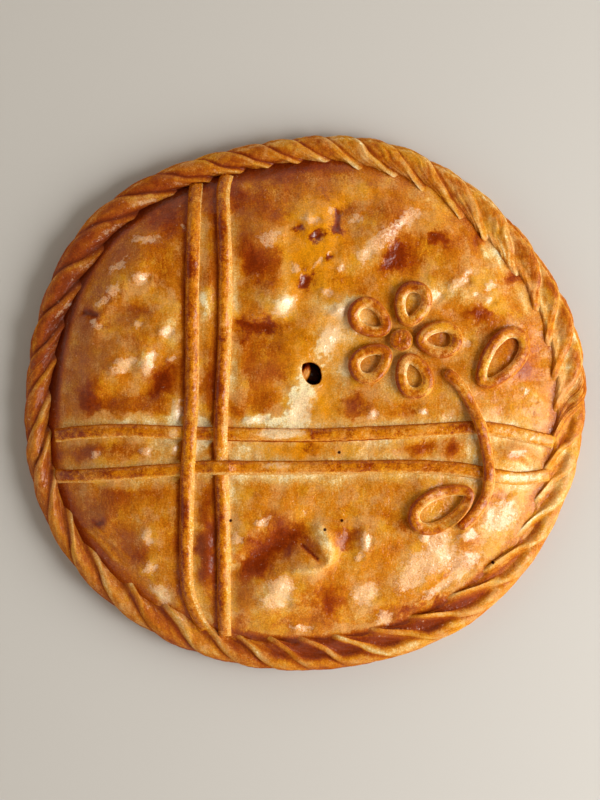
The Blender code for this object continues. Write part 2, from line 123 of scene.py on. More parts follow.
# Folds (+) and slits (-) in the lid: middle line, half width, height, browner (+) or paler (-),
# where the darker slits are partly painted shade
FOLDS = (
    (((8, -70), (13, -75), (15.5, -83), (13, -90), (7, -94), (-5, -94)), 2.5, 1.9, -0.16),
    (((-1.5, -79.5), (3, -83.5), (7, -87)), 0.75, -1.6, 0.55),
    (((17, 109), (18.5, 103), (17.5, 97)), 1.1, -0.6, 0.34),
    (((-124, 51), (-117, 49)), 1.1, -1.2, 0.35),
    (((-124, -71), (-116, -78), (-108, -88)), 1.5, 0.9, -0.14),
    (((-119, -70), (-109, -78), (-100, -88)), 1.2, 0.6, -0.08),
    (((111, -25), (119, -27), (126, -32)), 1.3, 0.7, -0.16),
    (((112, -33), (119, -34), (126, -38)), 1.3, 0.7, -0.16),
    (((122, 10), (129, 5), (134, 0)), 1.2, 0.6, -0.10),
    (((98, 92), (101, 84), (107, 77)), 1.4, 0.8, -0.12),
    (((105, 92), (109, 85), (115, 78)), 1.4, 0.8, -0.12),
)
# Pinholes, only in colour: dark spots of painted shade that stand for small holes
PINHOLES = ((20.5, -65.5), (-41.5, -65.5), (19, -27.5), (106, -90), (11, -70.5))
PINHOLE_RADIUS, PINHOLE_EDGE = 0.65, 0.5

# Where the light comes from, seen from above
LIGHT_HEADING = math.radians(-15.0)
LIT_X, LIT_Y = math.cos(LIGHT_HEADING), math.sin(LIGHT_HEADING)

# Facets that lean towards the light and catch its sheen: x, y, radii, turn, slope
SHEEN = (
    (-90, 92, 8, 2.4, 2, 0.34), (-92, 70, 5.2, 4.2, 10, 0.50), (-107, 63, 4.2, 3.4, 20, 0.45),
    (-113, 57, 4, 2.2, 30, 0.35), (-105, 77, 7, 2.4, 35, 0.30), (-68, 99, 1.8, 1.4, 0, 0.4),
    (-101, 21, 8.5, 4.6, 25, 0.42), (-87, 23, 4.0, 8.0, -12, 0.34),
    (-78, 39.5, 4.4, 3.6, 0, 0.46), (-93, 44, 2.6, 2.0, 0, 0.4), (-117, 44, 4.5, 2.4, -30, 0.35),
    (-74, 25, 4, 1.8, 30, 0.4), (-71, -5, 3.0, 7, 0, 0.36), (-88, -27, 3.2, 3, 0, 0.40),
    (-117, -28, 3.0, 3, 0, 0.40), (-73, -26, 2.6, 3.6, -20, 0.42), (-88, -75, 3.2, 4.6, 0, 0.38),
    (-87, -93, 3.6, 4.0, 0, 0.32), (-81, -108, 8, 4.0, -50, 0.20), (-20, 92, 6, 4.5, 30, 0.10),
    (4, 102.5, 4.0, 2.6, 0, 0.48), (14, 108, 2.0, 1.4, 50, 0.34), (28, 103, 5, 1.8, 20, 0.34),
    (8, 79, 4.0, 1.3, 45, 0.4), (-5, 75, 1.4, 3, 20, 0.35), (20, 75.5, 2.6, 1.4, 0, 0.34),
    (-12, 54, 8, 5.0, 45, 0.13), (21.5, 51.5, 7.0, 3.4, 15, 0.42), (12, 62, 4, 2.2, 0, 0.36),
    (33, 83, 4.5, 3.4, 40, 0.22), (42, 91, 13, 5.0, 42, 0.0), (58, 104, 8, 4.4, 35, 0.18),
    (71, 60, 6, 3.2, 0, 0.38), (86, 67, 6.5, 3.4, 25, 0.33), (92, 73, 3.4, 1.8, 0, 0.30),
    (104, 66, 3.0, 2.6, 0, 0.26), (95, 61, 2.4, 1.8, 0, 0.35), (103, 57, 3.2, 2.0, 0, 0.36),
    (-27, -9.5, 6.5, 2.0, 0, 0.42), (-3, -3, 6.5, 11, -20, 0.14), (13, 35, 6.0, 9, -20, 0.16),
    (30, 41, 5, 2.6, 10, 0.40), (38, -6, 2.6, 3.6, 20, 0.38), (88, 34, 5, 2.2, 0, 0.30),
    (66, -5, 3.4, 2.2, 20, 0.36), (124, 7, 3.4, 2.0, 20, 0.16), (-24, -67, 4.6, 3, 40, 0.34),
    (-38, -76, 2.6, 4.4, 0, 0.36), (-13, -102, 8.0, 6.5, 0, 0.20), (-17, -111, 9, 4.6, 0, 0.24),
    (34, -107, 8.5, 6.5, 30, 0.20), (45, -121, 5.0, 4, 20, 0.18), (-2, -126.5, 5.5, 2.6, 0, 0.34),
    (34, -77, 3, 6, 0, 0.28), (30, -86, 2, 2.4, 0, 0.34), (70, -88, 17, 8.5, 20, 0.05),
    (90, -91, 10, 6, 40, 0.03), (110, -64, 11, 8, 30, 0.03), (91, -74, 6.0, 3.2, 20, 0.28),
    (67, -74, 3.2, 2.8, 0, 0.36), (75, -104, 12, 2.8, 36, 0.18), (59, -100, 9, 6, 30, 0.12),
    (118, -28, 5, 3, 0, 0.16), (-62, -8, 3, 6, 0, 0.10), (88, -57, 3, 3, 0, 0.2),
    (-57, -16, 3, 4, 0, 0.05), (74, -76, 8, 4, 20, 0.03),
)

# ---- Colour of the crust
LID_BAKE = 0.42  # from 0, pale dough, to 1, nearly burnt, where no table below says otherwise
# Where it browned more (+) or less (-); among these, paler spots under the sheen facets are
# painted highlights, and spots between and beside the strips are painted shade (+) or painted
# light (-): x, y, long radius, short radius, turn, change of the bake
BROWNING_AND_PAINTED_LIGHT = (
    (-78, 108, 20, 10, 32, 0.24), (-76, 98, 9, 8, 0, 0.14), (-104, 82, 13, 6, 45, 0.16),
    (-112, 56, 10, 6, 40, 0.16), (-82, 58, 10, 8, 0, -0.10), (-122, 50, 4, 2, 10, 0.40),
    (-92, 50, 6, 4, 0, 0.20), (-120, 36, 10, 12, 0, 0.10), (-74, 42, 5, 10, 0, -0.22),
    (-79, 14, 10, 6, 62, 0.42), (-84, 6, 5, 3, 10, 0.34), (-122, 7, 6, 7, 0, 0.30),
    (-122, -4, 7, 4, 0, 0.28), (-104, -2, 18, 5, 0, 0.16), (-80, -3, 8, 4, 0, 0.16),
    (-95, -9, 30, 3, 0, -0.22), (-71, -5, 4, 8, 0, -0.28), (-126, -27, 8, 5, 0, 0.24),
    (-118, -27, 5, 4, 30, 0.26), (-101, -26, 9, 5, 0, 0.20), (-79, -27, 6, 5, 0, -0.14),
    (-20, 128, 20, 4, -3, 0.26), (8, 131, 16, 3, -6, 0.12), (-28, 116, 9, 6, 40, 0.16),
    (-19, 107, 12, 6, -20, 0.20), (-35, 88, 5, 12, 0, 0.22), (-27, 77, 11, 8, -40, 0.44),
    (-16, 84, 7, 6, 0, 0.16), (-10, 74, 4, 18, 0, -0.22), (-13, 55, 7, 6, 40, -0.34),
    (-26, 60, 10, 7, 0, -0.08), (-38, 60, 3, 30, 0, -0.14), (-7, 124, 10, 6, 0, 0.12),
    (13, 120, 8, 6, 0, 0.18), (3, 104, 5, 4, 0, -0.22), (7, 93, 4.5, 3.6, 20, 0.36),
    (-3, 98.5, 2.2, 2, 0, 0.45), (14, 82, 2.2, 2, 0, 0.50), (17, 101, 4, 11, 0, 0.16),
    (1, 68.5, 5.5, 4, 20, 0.30), (20, 70, 12, 5, -15, 0.20), (30, 61, 6, 3, -10, 0.26),
    (5, 56, 8, 7, 0, -0.16), (22, 53, 11, 5, 20, -0.26), (28, 118, 8, 6, 0, -0.08),
    (24, 106, 7, 4, 0, 0.18), (46, 108, 14, 8, -20, 0.12), (53, 84, 10, 6, 55, 0.46),
    (50, 77, 8, 4, 0, 0.34), (75, 93, 6, 4, 0, 0.34), (84, 90, 12, 6, 50, 0.14),
    (62, 82, 8, 6, 0, 0.14), (106, 84, 9, 5, -38, -0.34), (112, 78, 5, 3, -40, -0.16),
    (84, 73, 10, 4, 10, 0.14), (68, 62, 10, 5, -10, -0.12), (97, 50, 9, 5, 0, 0.32),
    (125, 58, 4, 14, 38, -0.20), (108, 34, 10, 14, 10, 0.14), (116, 18, 7, 6, 0, 0.14),
    (75, 38, 10, 5, 0, 0.12), (130, -5, 7, 12, 0, -0.14), (60, -5, 12, 4, 0, 0.20),
    (30, -1, 7, 7, 0, 0.20), (-34, 44, 6, 3, 0, 0.30), (-20, 43, 9, 3.5, -6, 0.44),
    (-32, 24, 11, 9, 20, 0.20), (-12, 30, 8, 8, 0, 0.14), (-16, 16, 9, 6, 0, 0.24),
    (-20, 2, 14, 5, 15, 0.18), (-3, 8, 5, 14, -25, -0.30), (-38, 14, 4, 16, 0, -0.20),
    (-26, -9, 12, 3, 0, -0.30), (14, 34, 7, 7, 0, -0.30), (2, 36, 7, 3, 0, 0.22),
    (32, 46, 10, 6, 20, -0.20), (22, 12, 7, 10, 0, -0.18), (50, 12, 12, 12, 0, -0.14),
    (0, -25, 7, 6, 0, 0.24), (-32, -27, 9, 4, 0, -0.26), (34, -26, 14, 4, 0, -0.12),
    (66, -25, 10, 4, 8, 0.30), (83, -24, 5, 6, 0, 0.32), (94, -27, 4, 5, 0, -0.20),
    (118, -28, 9, 5, 0, 0.22), (104, -31, 5, 4, 0, -0.08), (-126, -45, 12, 3, 0, 0.20),
    (-112, -60, 9, 8, 0, 0.14), (-116, -67, 4.2, 3.0, 20, 0.60), (-100, -52, 20, 4, 0, 0.16),
    (-101, -80, 9, 7, 20, 0.20), (-92, -84, 5, 6, 0, 0.30), (-88, -73, 5, 5, 0, -0.12),
    (-80, -108, 4, 8, -10, -0.34), (-84, -108, 8, 5, -40, -0.12), (-57, -78, 4, 12, 0, 0.28),
    (-57, -100, 4, 8, 0, 0.14), (-56, 68, 3.5, 9, 0, 0.20), (-56, 22, 4, 12, 0, 0.14),
    (-56, 58, 3.5, 5, 0, -0.16), (-38, -50, 5, 10, 0, -0.14), (-13, -78, 19, 6.5, 38, 0.54),
    (-28, -92, 9, 6, 20, 0.36), (-33, -103, 7, 8, 0, 0.12), (3, -80, 6, 4, -30, 0.22),
    (11, -80, 3, 9, 14, -0.14), (25, -78, 4, 7, 10, 0.28), (13, -107, 9, 7, 0, 0.24),
    (-2, -60, 14, 6, 0, -0.04), (46, -63, 12, 4, -20, 0.20), (58, -67, 8, 4, 0, 0.18),
    (20, -48, 12, 4, 0, -0.06), (45, -84, 12, 6, 30, 0.12), (78, -97, 13, 2.5, 36, 0.22),
    (62, -112, 16, 3, 28, 0.26), (105, -53, 10, 3, 0, 0.20), (111, -64, 12, 9, 40, -0.08),
    (92, -79, 7, 3, 10, 0.16), (0, -122, 24, 4, 0, 0.14), (76, -86, 16, 8, 36, -0.06),
    (34, -104, 10, 8, 20, -0.08), (-18, -110, 9, 7, 20, -0.12), (-2, 1, 5, 10, -20, -0.20),
    (-11, -10, 16, 3, 0, -0.20), (50, 82, 6, 5, 40, 0.18), (127, 0, 7, 12, 0, 0.16),
    (127, 28, 6, 18, 10, 0.14), (-38, 44, 4, 8, 0, 0.16), (-40, 118, 5, 10, 0, 0.50),
    (-55, 53, 4, 8, 0, -0.30), (-34, -24, 6, 5, 0, 0.14), (21, 42, 8, 6, 0, -0.14),
    (24, 20, 4, 6, 0, -0.14), (7, 39, 5, 5, 0, -0.12), (-14, -42, 34, 3.5, 0, -0.16),
    (70, 119, 8, 3, -40, -0.14), (-40, -126, 5, 6, 0, 0.26), (-1, 69, 4, 5, 0, 0.24),
    (-39, -4, 4, 10, 0, 0.26), (-54, -88, 4, 12, 0, 0.30), (-57, 116, 5, 9, 0, 0.32),
    (82, 63, 10, 6, 0, -0.18), (5, -23, 6, 4, 0, 0.14), (15, -112, 7, 6, 0, 0.30),
    (50, 118, 10, 7, -20, 0.16), (18, 98, 2.5, 3, 0, 0.30), (64, 62, 6, 6, 0, -0.14),
    (-4, 133, 18, 4, 0, 0.16), (-56, -25, 4, 6, 0, -0.16), (-56, 8, 4, 10, 0, 0.20),
    (-55, -60, 4, 12, 0, 0.22), (20, -75, 5, 5, 0, 0.10), (48, 80, 7, 5, 40, 0.26),
    (22, 53, 8, 4, 20, -0.20), (-14, 6, 6, 6, 0, -0.20), (8, -79, 4, 5, 0, -0.24),
    (-16, -68, 6, 6, 0, 0.30), (44, -116, 8, 4, 20, 0.10), (-56, -15, 4, 8, 0, -0.24),
    (-42, 48, 3, 8, 0, 0.10), (52, 28, 14, 10, 0, -0.14), (90, 8, 12, 10, 0, -0.10),
    (-82, 76, 9, 7, 0, 0.10), (-57, -17, 4, 6, 0, -0.20), (4, -66, 6, 5, 0, -0.20),
    (70, 120, 6, 3, -40, -0.10), (-48, 58, 3, 8, 0, -0.10), (-78, -7, 6, 4, 0, 0.12),
    (138, -18, 5, 8, 0, 0.14), (-40, -4, 4, 8, 0, 0.14), (-100, 60, 14, 5, 40, -0.06),
    (-57, -16, 4, 6, 0, -0.14), (21, 50, 8, 5, 10, -0.12), (22, 22, 5, 7, 0, -0.16),
    (4, -4, 6, 7, 0, -0.12), (-68, -14, 3, 5, 0, -0.16), (36, -94, 9, 6, 20, 0.14),
    (-30, -76, 5, 4, 30, 0.20), (42, -113, 5, 3, 20, 0.12), (125, 18, 6, 8, 0, 0.06),
    (20, -77, 3.5, 6, 0, 0.06), (5, 90, 15, 22, 0, 0.05), (-27, 82, 9, 9, 0, 0.08),
    (46, 97, 9, 5, 42, 0.16), (45, -116, 6, 4, 20, 0.14), (118, 72, 5, 6, -50, 0.30),
    (-29, -78, 5, 5, 30, 0.20), (82, -86, 26, 14, 30, 0.05), (-34, 36, 6, 4, 0, 0.20),
    (0, 63, 5, 4, 0, 0.18), (16, 99, 2.5, 5, 0, 0.14), (-57, -16, 4, 5, 0, -0.30),
    (21, 22, 5, 6, 0, -0.12), (-80, 79, 9, 8, 0, 0.08), (-55, -82, 4, 14, 0, 0.14),
    (40, -62, 34, 9, 0, -0.08), (87, -17, 12, 7, 0, -0.12), (24, 36, 8, 8, 0, -0.10),
    (-2, 20, 5, 8, 0, -0.10), (10, 50, 8, 6, 0, -0.04), (98, 94, 6, 5, 40, 0.40),
    (125, -17, 6, 5, 0, 0.14), (123, 19, 6, 7, 0, 0.20), (101, 86, 5, 5, 40, 0.14),
    (118, 73, 5, 5, -50, 0.16), (21, 101, 3, 5, 0, 0.18), (-7, 56, 5, 6, 0, 0.10),
    (-79, -104, 6, 6, 0, 0.12), (138, -19, 4, 6, 0, 0.14), (39, -100, 6, 4, 20, 0.12),
    (57, -107, 7, 4, 30, 0.14), (16, -5, 5, 10, 0, -0.08), (21, 51, 8, 4, 10, -0.12),
    (-90, -100, 8, 6, 0, 0.06),
)
# The same with firm, ragged edges
PATCHES = (
    (13, 35, 11, 6.0, 72, -0.34), (-3, 0, 13, 7, 68, -0.34), (-24, -8.5, 6, 2.4, 5, -0.26),
    (-31, 42, 12, 5.5, -4, 0.20), (25, -3, 8, 5, 80, 0.22), (2, -26, 6.5, 5.0, 0, 0.14),
    (24, 19, 6, 4, 80, -0.16), (24, 47, 8, 4, 20, -0.14), (-11, 55, 6, 4, 45, -0.16),
    (-80, 12, 9, 4.5, 65, 0.10), (-16, -76, 14, 5, 40, 0.08), (-30, -91, 8, 4.5, 20, 0.12),
    (49, 81, 8, 5, 52, 0.12), (7, 93, 4.5, 3.0, 20, 0.22), (0, 68, 6, 4.0, 20, 0.18),
    (75, 92, 6, 4, 0, 0.18), (60, -117, 11, 2.6, 26, 0.26), (76, -112, 7, 2.2, 34, 0.30),
    (-78, 108, 10, 5, 32, 0.14), (-27, 77, 7, 9, -20, 0.04), (66, -25, 8, 3.5, 4, 0.14),
    (84, -24, 4.5, 4, 0, 0.18), (-120, 1, 7, 5, 0, 0.16), (97, 50, 7, 4, 0, 0.16),
    (13, -108, 6, 5, 0, 0.04), (2, -111, 6, 4, 0, 0.14), (-38, -86, 4, 4, 0, 0.20),
    (-98, 21, 9, 5, 25, -0.12), (-88, 24, 4, 7, -12, -0.12), (-15, -106, 9, 7, 0, -0.10),
)
# Painted reflection of the dim room, a dusky greyish mauve, mostly on slopes turned from the light:
# as above
PAINTED_REFLECTION = (
    (-74, 112, 14, 6, 30, 0.5), (-104, 84, 12, 5, 45, 0.5), (-116, 66, 12, 6, 52, 0.5),
    (-104, 49, 8, 4, 0, 0.4), (-124, 42, 8, 11, 10, 0.6), (-114, 27, 15, 9, 20, 0.7),
    (-130, 4, 7, 20, 0, 0.7), (-126, -28, 9, 5, 0, 0.6), (-94, -25, 4, 4, 0, 0.4),
    (-22, 127, 14, 5, -5, 0.6), (-35, 106, 6, 6, 0, 0.4), (-24, 92, 8, 11, 20, 0.5),
    (24, 105, 6, 5, 0, 0.4), (45, 96, 9, 5, 42, 0.4), (51, -118, 6, 4, 20, 0.4),
    (24, -2, 7, 7, 0, 0.7), (-14, -63, 6, 8, 0, 0.6), (-33, -104, 7, 9, 0, 0.7),
    (-113, -59, 9, 8, 0, 0.7), (-126, -55, 5, 8, 0, 0.5), (-101, -79, 8, 7, 20, 0.7),
    (-57, -80, 4, 14, 0, 0.6), (-20, 18, 12, 8, 0, 0.4), (30, -72, 6, 6, 0, 0.2),
    (84, -20, 4, 4, 0, 0.4), (-38, -72, 6, 8, 0, 0.4), (84, -84, 26, 14, 32, 0.28),
)
# Orange oil that has seeped out round the vent: as above
OIL = (
    (5, 90, 13, 24, 0, 1.0), (17, 100, 5, 12, 0, 0.7), (12, 112, 9, 8, 0, 0.4),
    (20, 68, 14, 6, -15, 0.5), (72, 103, 10, 5, 20, 0.5), (22, 48, 18, 12, 10, 0.5),
    (14, 30, 12, 12, 0, 0.4), (11, 2, 7, 12, 10, 0.8), (0, -25, 8, 7, 0, 0.9),
    (-18, -25, 7, 4, 0, 0.8), (30, -25, 12, 4, 0, 0.4), (-4, 32, 8, 8, 0, 0.5),
    (-30, 42, 18, 5, 0, 0.5), (-6, 20, 6, 6, 0, 0.4), (76, -97, 14, 4, 36, 0.5),
    (50, 84, 9, 9, 0, 0.4), (124, 20, 8, 10, 0, 0.1), (22, 22, 6, 8, 0, 0.4),
    (18, 28, 4, 6, 0, 0.5), (14, 46, 6, 4, 0, 0.5), (34, 118, 16, 6, 0, 0.3),
    (50, 66, 10, 6, 0, 0.3), (4, -4, 7, 8, 0, 0.3), (38, -92, 12, 6, 20, 0.3),
    (30, 30, 8, 5, 0, 0.6), (12, -16, 10, 5, 0, 0.5), (-8, 66, 6, 14, 0, 0.5),
    (66, -56, 14, 8, 0, 0.3), (-2, -60, 30, 8, 0, 0.2),
)

# Darkening and scorch in the valley beside the rope edge, partly painted shade where the valley
# lies in shadow, by the clockwise angle round the pie from the right
LID_VALLEY = (
    (0, 0.45), (15, 0.40), (30, 0.10), (42, 0.50), (60, 0.80), (95, 0.80), (110, 0.40),
    (150, 0.20), (172, 0.30), (182, 0.75), (242, 0.75), (256, 0.45), (268, 0.60), (276, 0.10),
    (290, 0.05), (310, 0.25), (322, 0.0), (340, 0.15), (360, 0.30),
)

# ---- Steam vent
VENT_AT = (4.0, 16.0)
VENT_FLOOR = 17.0
VENT_WALL = 0.9
VENT_FINE_ZONE = 10.0  # how far round the vent the lid's grid is finer
VENT_FLAP = (0.5, 17.2, 2.7, 5.2, -14, 1.0)  # a torn flap in its left part, as for the lumps
VENT_FLAP_RISE = 0.80
VENT_CORNERS = (  # angle, distance from the middle
    (-51, 6.4), (11, 5.2), (81, 6.6), (133, 8.0), (162, 6.4), (217, 5.1), (270, 6.0), (309, 6.4),
    (371, 5.2),
)
FILLING_WIDTH, FILLING_HEIGHT = 9.2, 5.0

# ---- Strips, in the order in which they are laid
STRIP_CLEAR_OF_ROPE = -3.0  # below nought, so that the ends run under the rope
STRIP_SINK, STRIP_STIFFNESS = 0.5, 26.0  # depth in the lid, and radius of the tightest bend
STRIP_SQUARENESS, ROLL_SQUARENESS = 3.4, 2.3  # of their sections, where 2 is round
CROSSING_PRESS = 0.4  # how far what crosses a strip sinks into it
LINE_STEP = 0.7  # between the points of a laid line
ROD_SIDES = 32
STRIP_ROUTES = {
    "strip_across_back": (
        (-141.5, -18.5), (-124.5, -16.5), (-102, -15.5), (-73.5, -16.5), (-33.5, -17.5), (-3, -18),
        (20, -17.5), (43, -16.5), (65, -15.5), (88, -14), (100, -14), (114, -16),
        (122.5, -18), (140.5, -22),
    ),
    "strip_along_right": (
        (-42.5, 135), (-46, 121), (-45.5, 102), (-44.5, 79.5), (-44.5, 57.5), (-45, 29.5),
        (-46.5, 1.5), (-47, -20.5), (-46.5, -43), (-45.5, -65), (-45.5, -110), (-45.5, -134),
    ),
    "strip_across_front": (
        (-141.5, -41.5), (-124.5, -41), (-102, -39.5), (-73.5, -37.5), (-56.5, -36), (-36, -36),
        (-3, -36), (43, -35.5), (65, -35.5), (86, -37), (100.5, -39.5), (108.5, -41),
        (122, -42.5), (138.5, -40.5),
    ),
    "strip_along_left": (
        (-61.5, 129), (-62, 118.5), (-62.5, 91), (-63, 57.5), (-63, 18.5), (-63.5, -4),
        (-64.5, -23.5), (-65.5, -43), (-66, -65), (-66.5, -87.5), (-66, -104), (-62, -118),
        (-56.5, -129),
    ),
}

# Where each strip's pale, lit flank begins, from -1 at its shaded foot to 1 at its lit foot: in the
# front half of the pie, and in the back half
STRIP_FLANKS = {
    "strip_across_back": (0.68, 0.68), "strip_along_right": (0.30, 0.42),
    "strip_across_front": (0.62, 0.62), "strip_along_left": (0.34, 0.78),
}
STRIP_BROWNING_AND_PAINTED_HIGHLIGHT = (  # as for the lid's crust above, with painted highlights where the strips shine
    (-128, -18, 9, 5, 0, 0.20), (-73, -17, 3, 5, 0, -0.20), (-35, -17, 5, 4, 0, -0.12),
    (-15, -17, 13, 5, 0, -0.30), (5, -17, 5, 4, 0, 0.16), (30, -17, 14, 4, 0, -0.06),
    (66, -14, 6, 3, 0, -0.22), (90, -13, 7, 4, 0, 0.18), (112, -16, 9, 6, 0, -0.24),
    (132, -20, 14, 7, 0, -0.22), (-134, -42, 8, 5, 0, 0.22), (-106, -40, 12, 4, 0, 0.10),
    (-14, -35, 9, 4, 0, -0.14), (3, -36, 6, 3, 0, -0.08), (34, -35, 8, 4, 0, 0.12),
    (70, -36, 8, 4, 0, 0.10), (122, -42, 18, 7, 0, -0.30), (-64, 76, 3, 8, 0, 0.26),
    (-64, 56, 3, 8, 0, 0.12), (-63, 100, 4, 8, 0, -0.08), (-67, -62, 4, 9, 0, 0.26),
    (-68, -86, 4, 10, 0, 0.12), (-47, 94, 4, 14, 0, 0.20), (-48, 45, 4, 8, 0, -0.08),
    (-49, 8, 4, 16, 0, 0.22), (-49, -62, 4, 9, 0, 0.16), (-48, -104, 4, 14, 0, 0.10),
    (-47, 59, 4, 9, 0, -0.10), (-47, 18, 4, 8, 0, -0.10), (-47, 80, 4, 6, 0, -0.08),
    (-48, -126, 4, 6, 0, -0.10),
)
# Painted highlight where the egg wash shines on the strips, paler and cream-tinted, with more
# glaze: as above
STRIP_SHEEN = (
    (-14, -16.8, 14.5, 3.1, 0, 1.0), (-73, -17, 3, 3, 0, 0.6), (-16, -35, 8, 2.0, 0, 0.6),
    (120, -42, 14, 3, 0, 0.6), (126, -19, 10, 3, -10, 0.35), (-47, -30, 2, 6, 0, 0.5),
)

# ---- Rolled-pastry sprig
FLOWER_AT, FLOWER_TURN = (53.5, 35.0), 1.0
PETALS = 5
PETAL_LENGTH, PETAL_WIDTH = 20.0, 14.5
PETAL_FROM_HEART = 21.0
HEART_RADIUS = 6.4
HEART_HEIGHT = 4.6
STEM_ROUTE = (
    (78, 18), (83, 13.5), (88, 7.5), (93, -2), (98, -14), (101.5, -28), (102.5, -41),
    (101, -52), (95, -62), (86, -70),
)
STEM_END = 3.2  # how far from its ends the stem begins to thin
LEAF_LENGTH, LEAF_WIDTH = 34.0, 17.0
LOOP_TAPER = 0.22
ROLL_SINK, ROLL_STIFFNESS = 0.6, 20.0  # as for the strips
LEAVES = {  # middle, heading
    "leaf_back": ((110.0, 25.0), 52.0), "leaf_front": ((76.0, -58.5), 208.0),
}

# ---- Rope edge, by the clockwise angle round the pie from the right
RIM_STATIONS, RIM_SIDES = 30, 80  # along one strand, and round the section
RIM_PLACE = 157.0  # how far out its random dents and flecks are looked up
RIM_BAKE = (  # how far it browned
    (0, 0.42), (20, 0.36), (40, 0.26), (58, 0.28), (70, 0.40), (95, 0.50), (120, 0.49),
    (150, 0.55), (180, 0.60), (205, 0.58), (235, 0.54), (262, 0.46), (285, 0.30), (305, 0.38),
    (318, 0.40), (330, 0.46), (345, 0.40), (360, 0.38),
)
RIM_GROOVE_BAKE_AND_SHADE = (  # in the grooves between strands: darker, partly painted shade, or paler below nought
    (0, -0.12), (20, -0.04), (45, 0.16), (60, 0.34), (95, 0.32), (115, 0.34), (150, 0.34),
    (180, 0.26), (200, 0.40), (265, 0.40), (280, 0.22), (305, 0.20), (322, -0.22), (340, -0.32),
    (360, -0.14),
)
RIM_SPREAD = (  # how far its inner half is drawn in over the lid, in mm
    (0, 3.2), (15, 2.4), (30, 1.2), (40, 3.4), (65, 3.8), (85, 4.2), (95, 2.8), (106, 1.2),
    (120, 3.2), (133, 0.6), (150, -1.2), (182, -1.4), (200, 0.8), (214, 2.4), (228, 0.4),
    (250, -1.6), (268, -1.2), (284, 2.2), (300, 1.4), (315, 3.4), (332, 2.6), (345, 3.6),
    (360, 3.2),
)
RIM_TAIL = (  # how far each strand's inner end trails along the rim
    (0, 1.0), (40, 1.1), (60, 0.8), (100, 0.7), (150, 0.3), (250, 0.5), (272, 0.6), (284, 1.1),
    (306, 0.9), (318, 0.3), (340, 0.5), (360, 1.0),
)
RIM_TIPS = (  # how far its inner end is lifted into a tip
    (0, 0.15), (20, 0.10), (45, 0.30), (70, 0.30), (100, 0.55), (120, 0.8), (160, 0.7),
    (190, 0.4), (235, 0.5), (265, 0.7), (290, 0.8), (312, 0.8), (330, 0.4), (345, 0.4),
    (360, 0.15),
)
RIM_TIP_BAKE = (  # on those tips
    (0, -0.10), (40, 0.04), (55, 0.24), (88, 0.24), (110, -0.12), (150, -0.26), (180, -0.24),
    (195, 0.20), (232, 0.10), (250, -0.26), (285, -0.34), (300, -0.24), (325, -0.34),
    (360, -0.14),
)
RIM_HOLLOW = (  # how far its upper side is pressed in
    (0, 0.16), (20, 0.26), (40, 0.32), (55, 0.40), (88, 0.36), (100, 0.20), (120, 0.24),
    (150, 0.24), (165, 0.18), (185, 0.10), (198, 0.20), (212, 0.05), (330, 0.06), (345, 0.12),
    (360, 0.10),
)
RIM_HOLLOW_BAKE = (  # in those hollows
    (0, 0.06), (15, 0.20), (32, 0.26), (45, 0.44), (55, 0.86), (88, 0.90), (98, 0.30),
    (112, 0.10), (130, 0.20), (160, 0.20), (185, 0.16), (198, 0.46), (212, 0.14), (300, 0.04),
    (318, -0.06), (340, -0.26), (352, -0.26), (360, -0.04),
)
RIM_OUTER_SMOOTH = (  # how far the strands run together on the outer side
    (0, 0.45), (25, 0.80), (85, 0.80), (105, 0.50), (150, 0.30), (200, 0.25), (300, 0.30),
    (340, 0.30), (360, 0.45),
)
RIM_GLINT = (  # how brightly the egg wash shines on it
    (0, 0.0), (52, 0.0), (62, 0.5), (76, 0.5), (86, 0.0), (108, 0.1), (122, 0.7), (160, 0.6),
    (172, 0.4), (184, 0.8), (212, 1.0), (236, 0.9), (250, 0.6), (270, 0.4), (300, 0.1),
    (340, 0.3), (350, 0.0), (360, 0.0),
)
RIM_COMBED = (  # how strongly it is wrinkled lengthwise
    (0, 0.6), (30, 0.4), (70, 0.6), (100, 0.8), (180, 1.0), (240, 0.8), (272, 1.2), (284, 2.4),
    (298, 2.2), (312, 1.9), (320, 2.6), (332, 1.5), (360, 0.6),
)

# ---- Finish of each kind of dough: how strong its specks are, and its glaze beside the lid's
DOUGHS = {
    "crust_lid": (1.0, 0.0), "crust_rim": (1.0, -0.18), "crust_strip": (1.7, -0.20),
    "crust_roll": (1.5, 0.15),
}
# the layers also carry painted light: shade in the bake and char, highlights in the bake and gloss,
# reflection in the bloom
DOUGH_LAYERS = ("bake", "bloom", "oil", "char", "gloss")  # painted on each piece's points
MILKY_STOP = (0.92, 0.79, 0.48)  # the palest end of the bake
PORE_COLOUR = (0.14, 0.03, 0.006, 1.0)
# also the colour of painted shade deep in holes and creases
SCORCH_AND_SHADE_COLOUR = (0.035, 0.006, 0.002, 1.0)
FILLING_DARK, FILLING_LIGHT = (0.012, 0.004, 0.003, 1.0), (0.075, 0.022, 0.010, 1.0)

# ---- Stage
FLOOR_REACH = 9.0  # metres
LAMPS = (  # name, width in metres, lean from straight up in degrees
    ("sky", 1.30, 61.0), ("window", 0.60, 46.0),
)
LAMP_DISTANCE = 1.35  # metres
LAMP_COLOUR = (1.0, 0.98, 0.94)
ROOM_COLOUR = (1.0, 0.91, 0.76, 1.0)
CAMERA_AT = (-2.85, 1.7, 1000.0)  # looking straight down
CAMERA_LENS, CAMERA_SENSOR = 78.3, 36.0


# ---- Settings that a user may change


def tint(name, description, default):
    """A colour that a user may change."""
    return FloatVectorProperty(
        name=name, description=description, default=default, min=0.0, max=1.0, subtype="COLOR"
    )


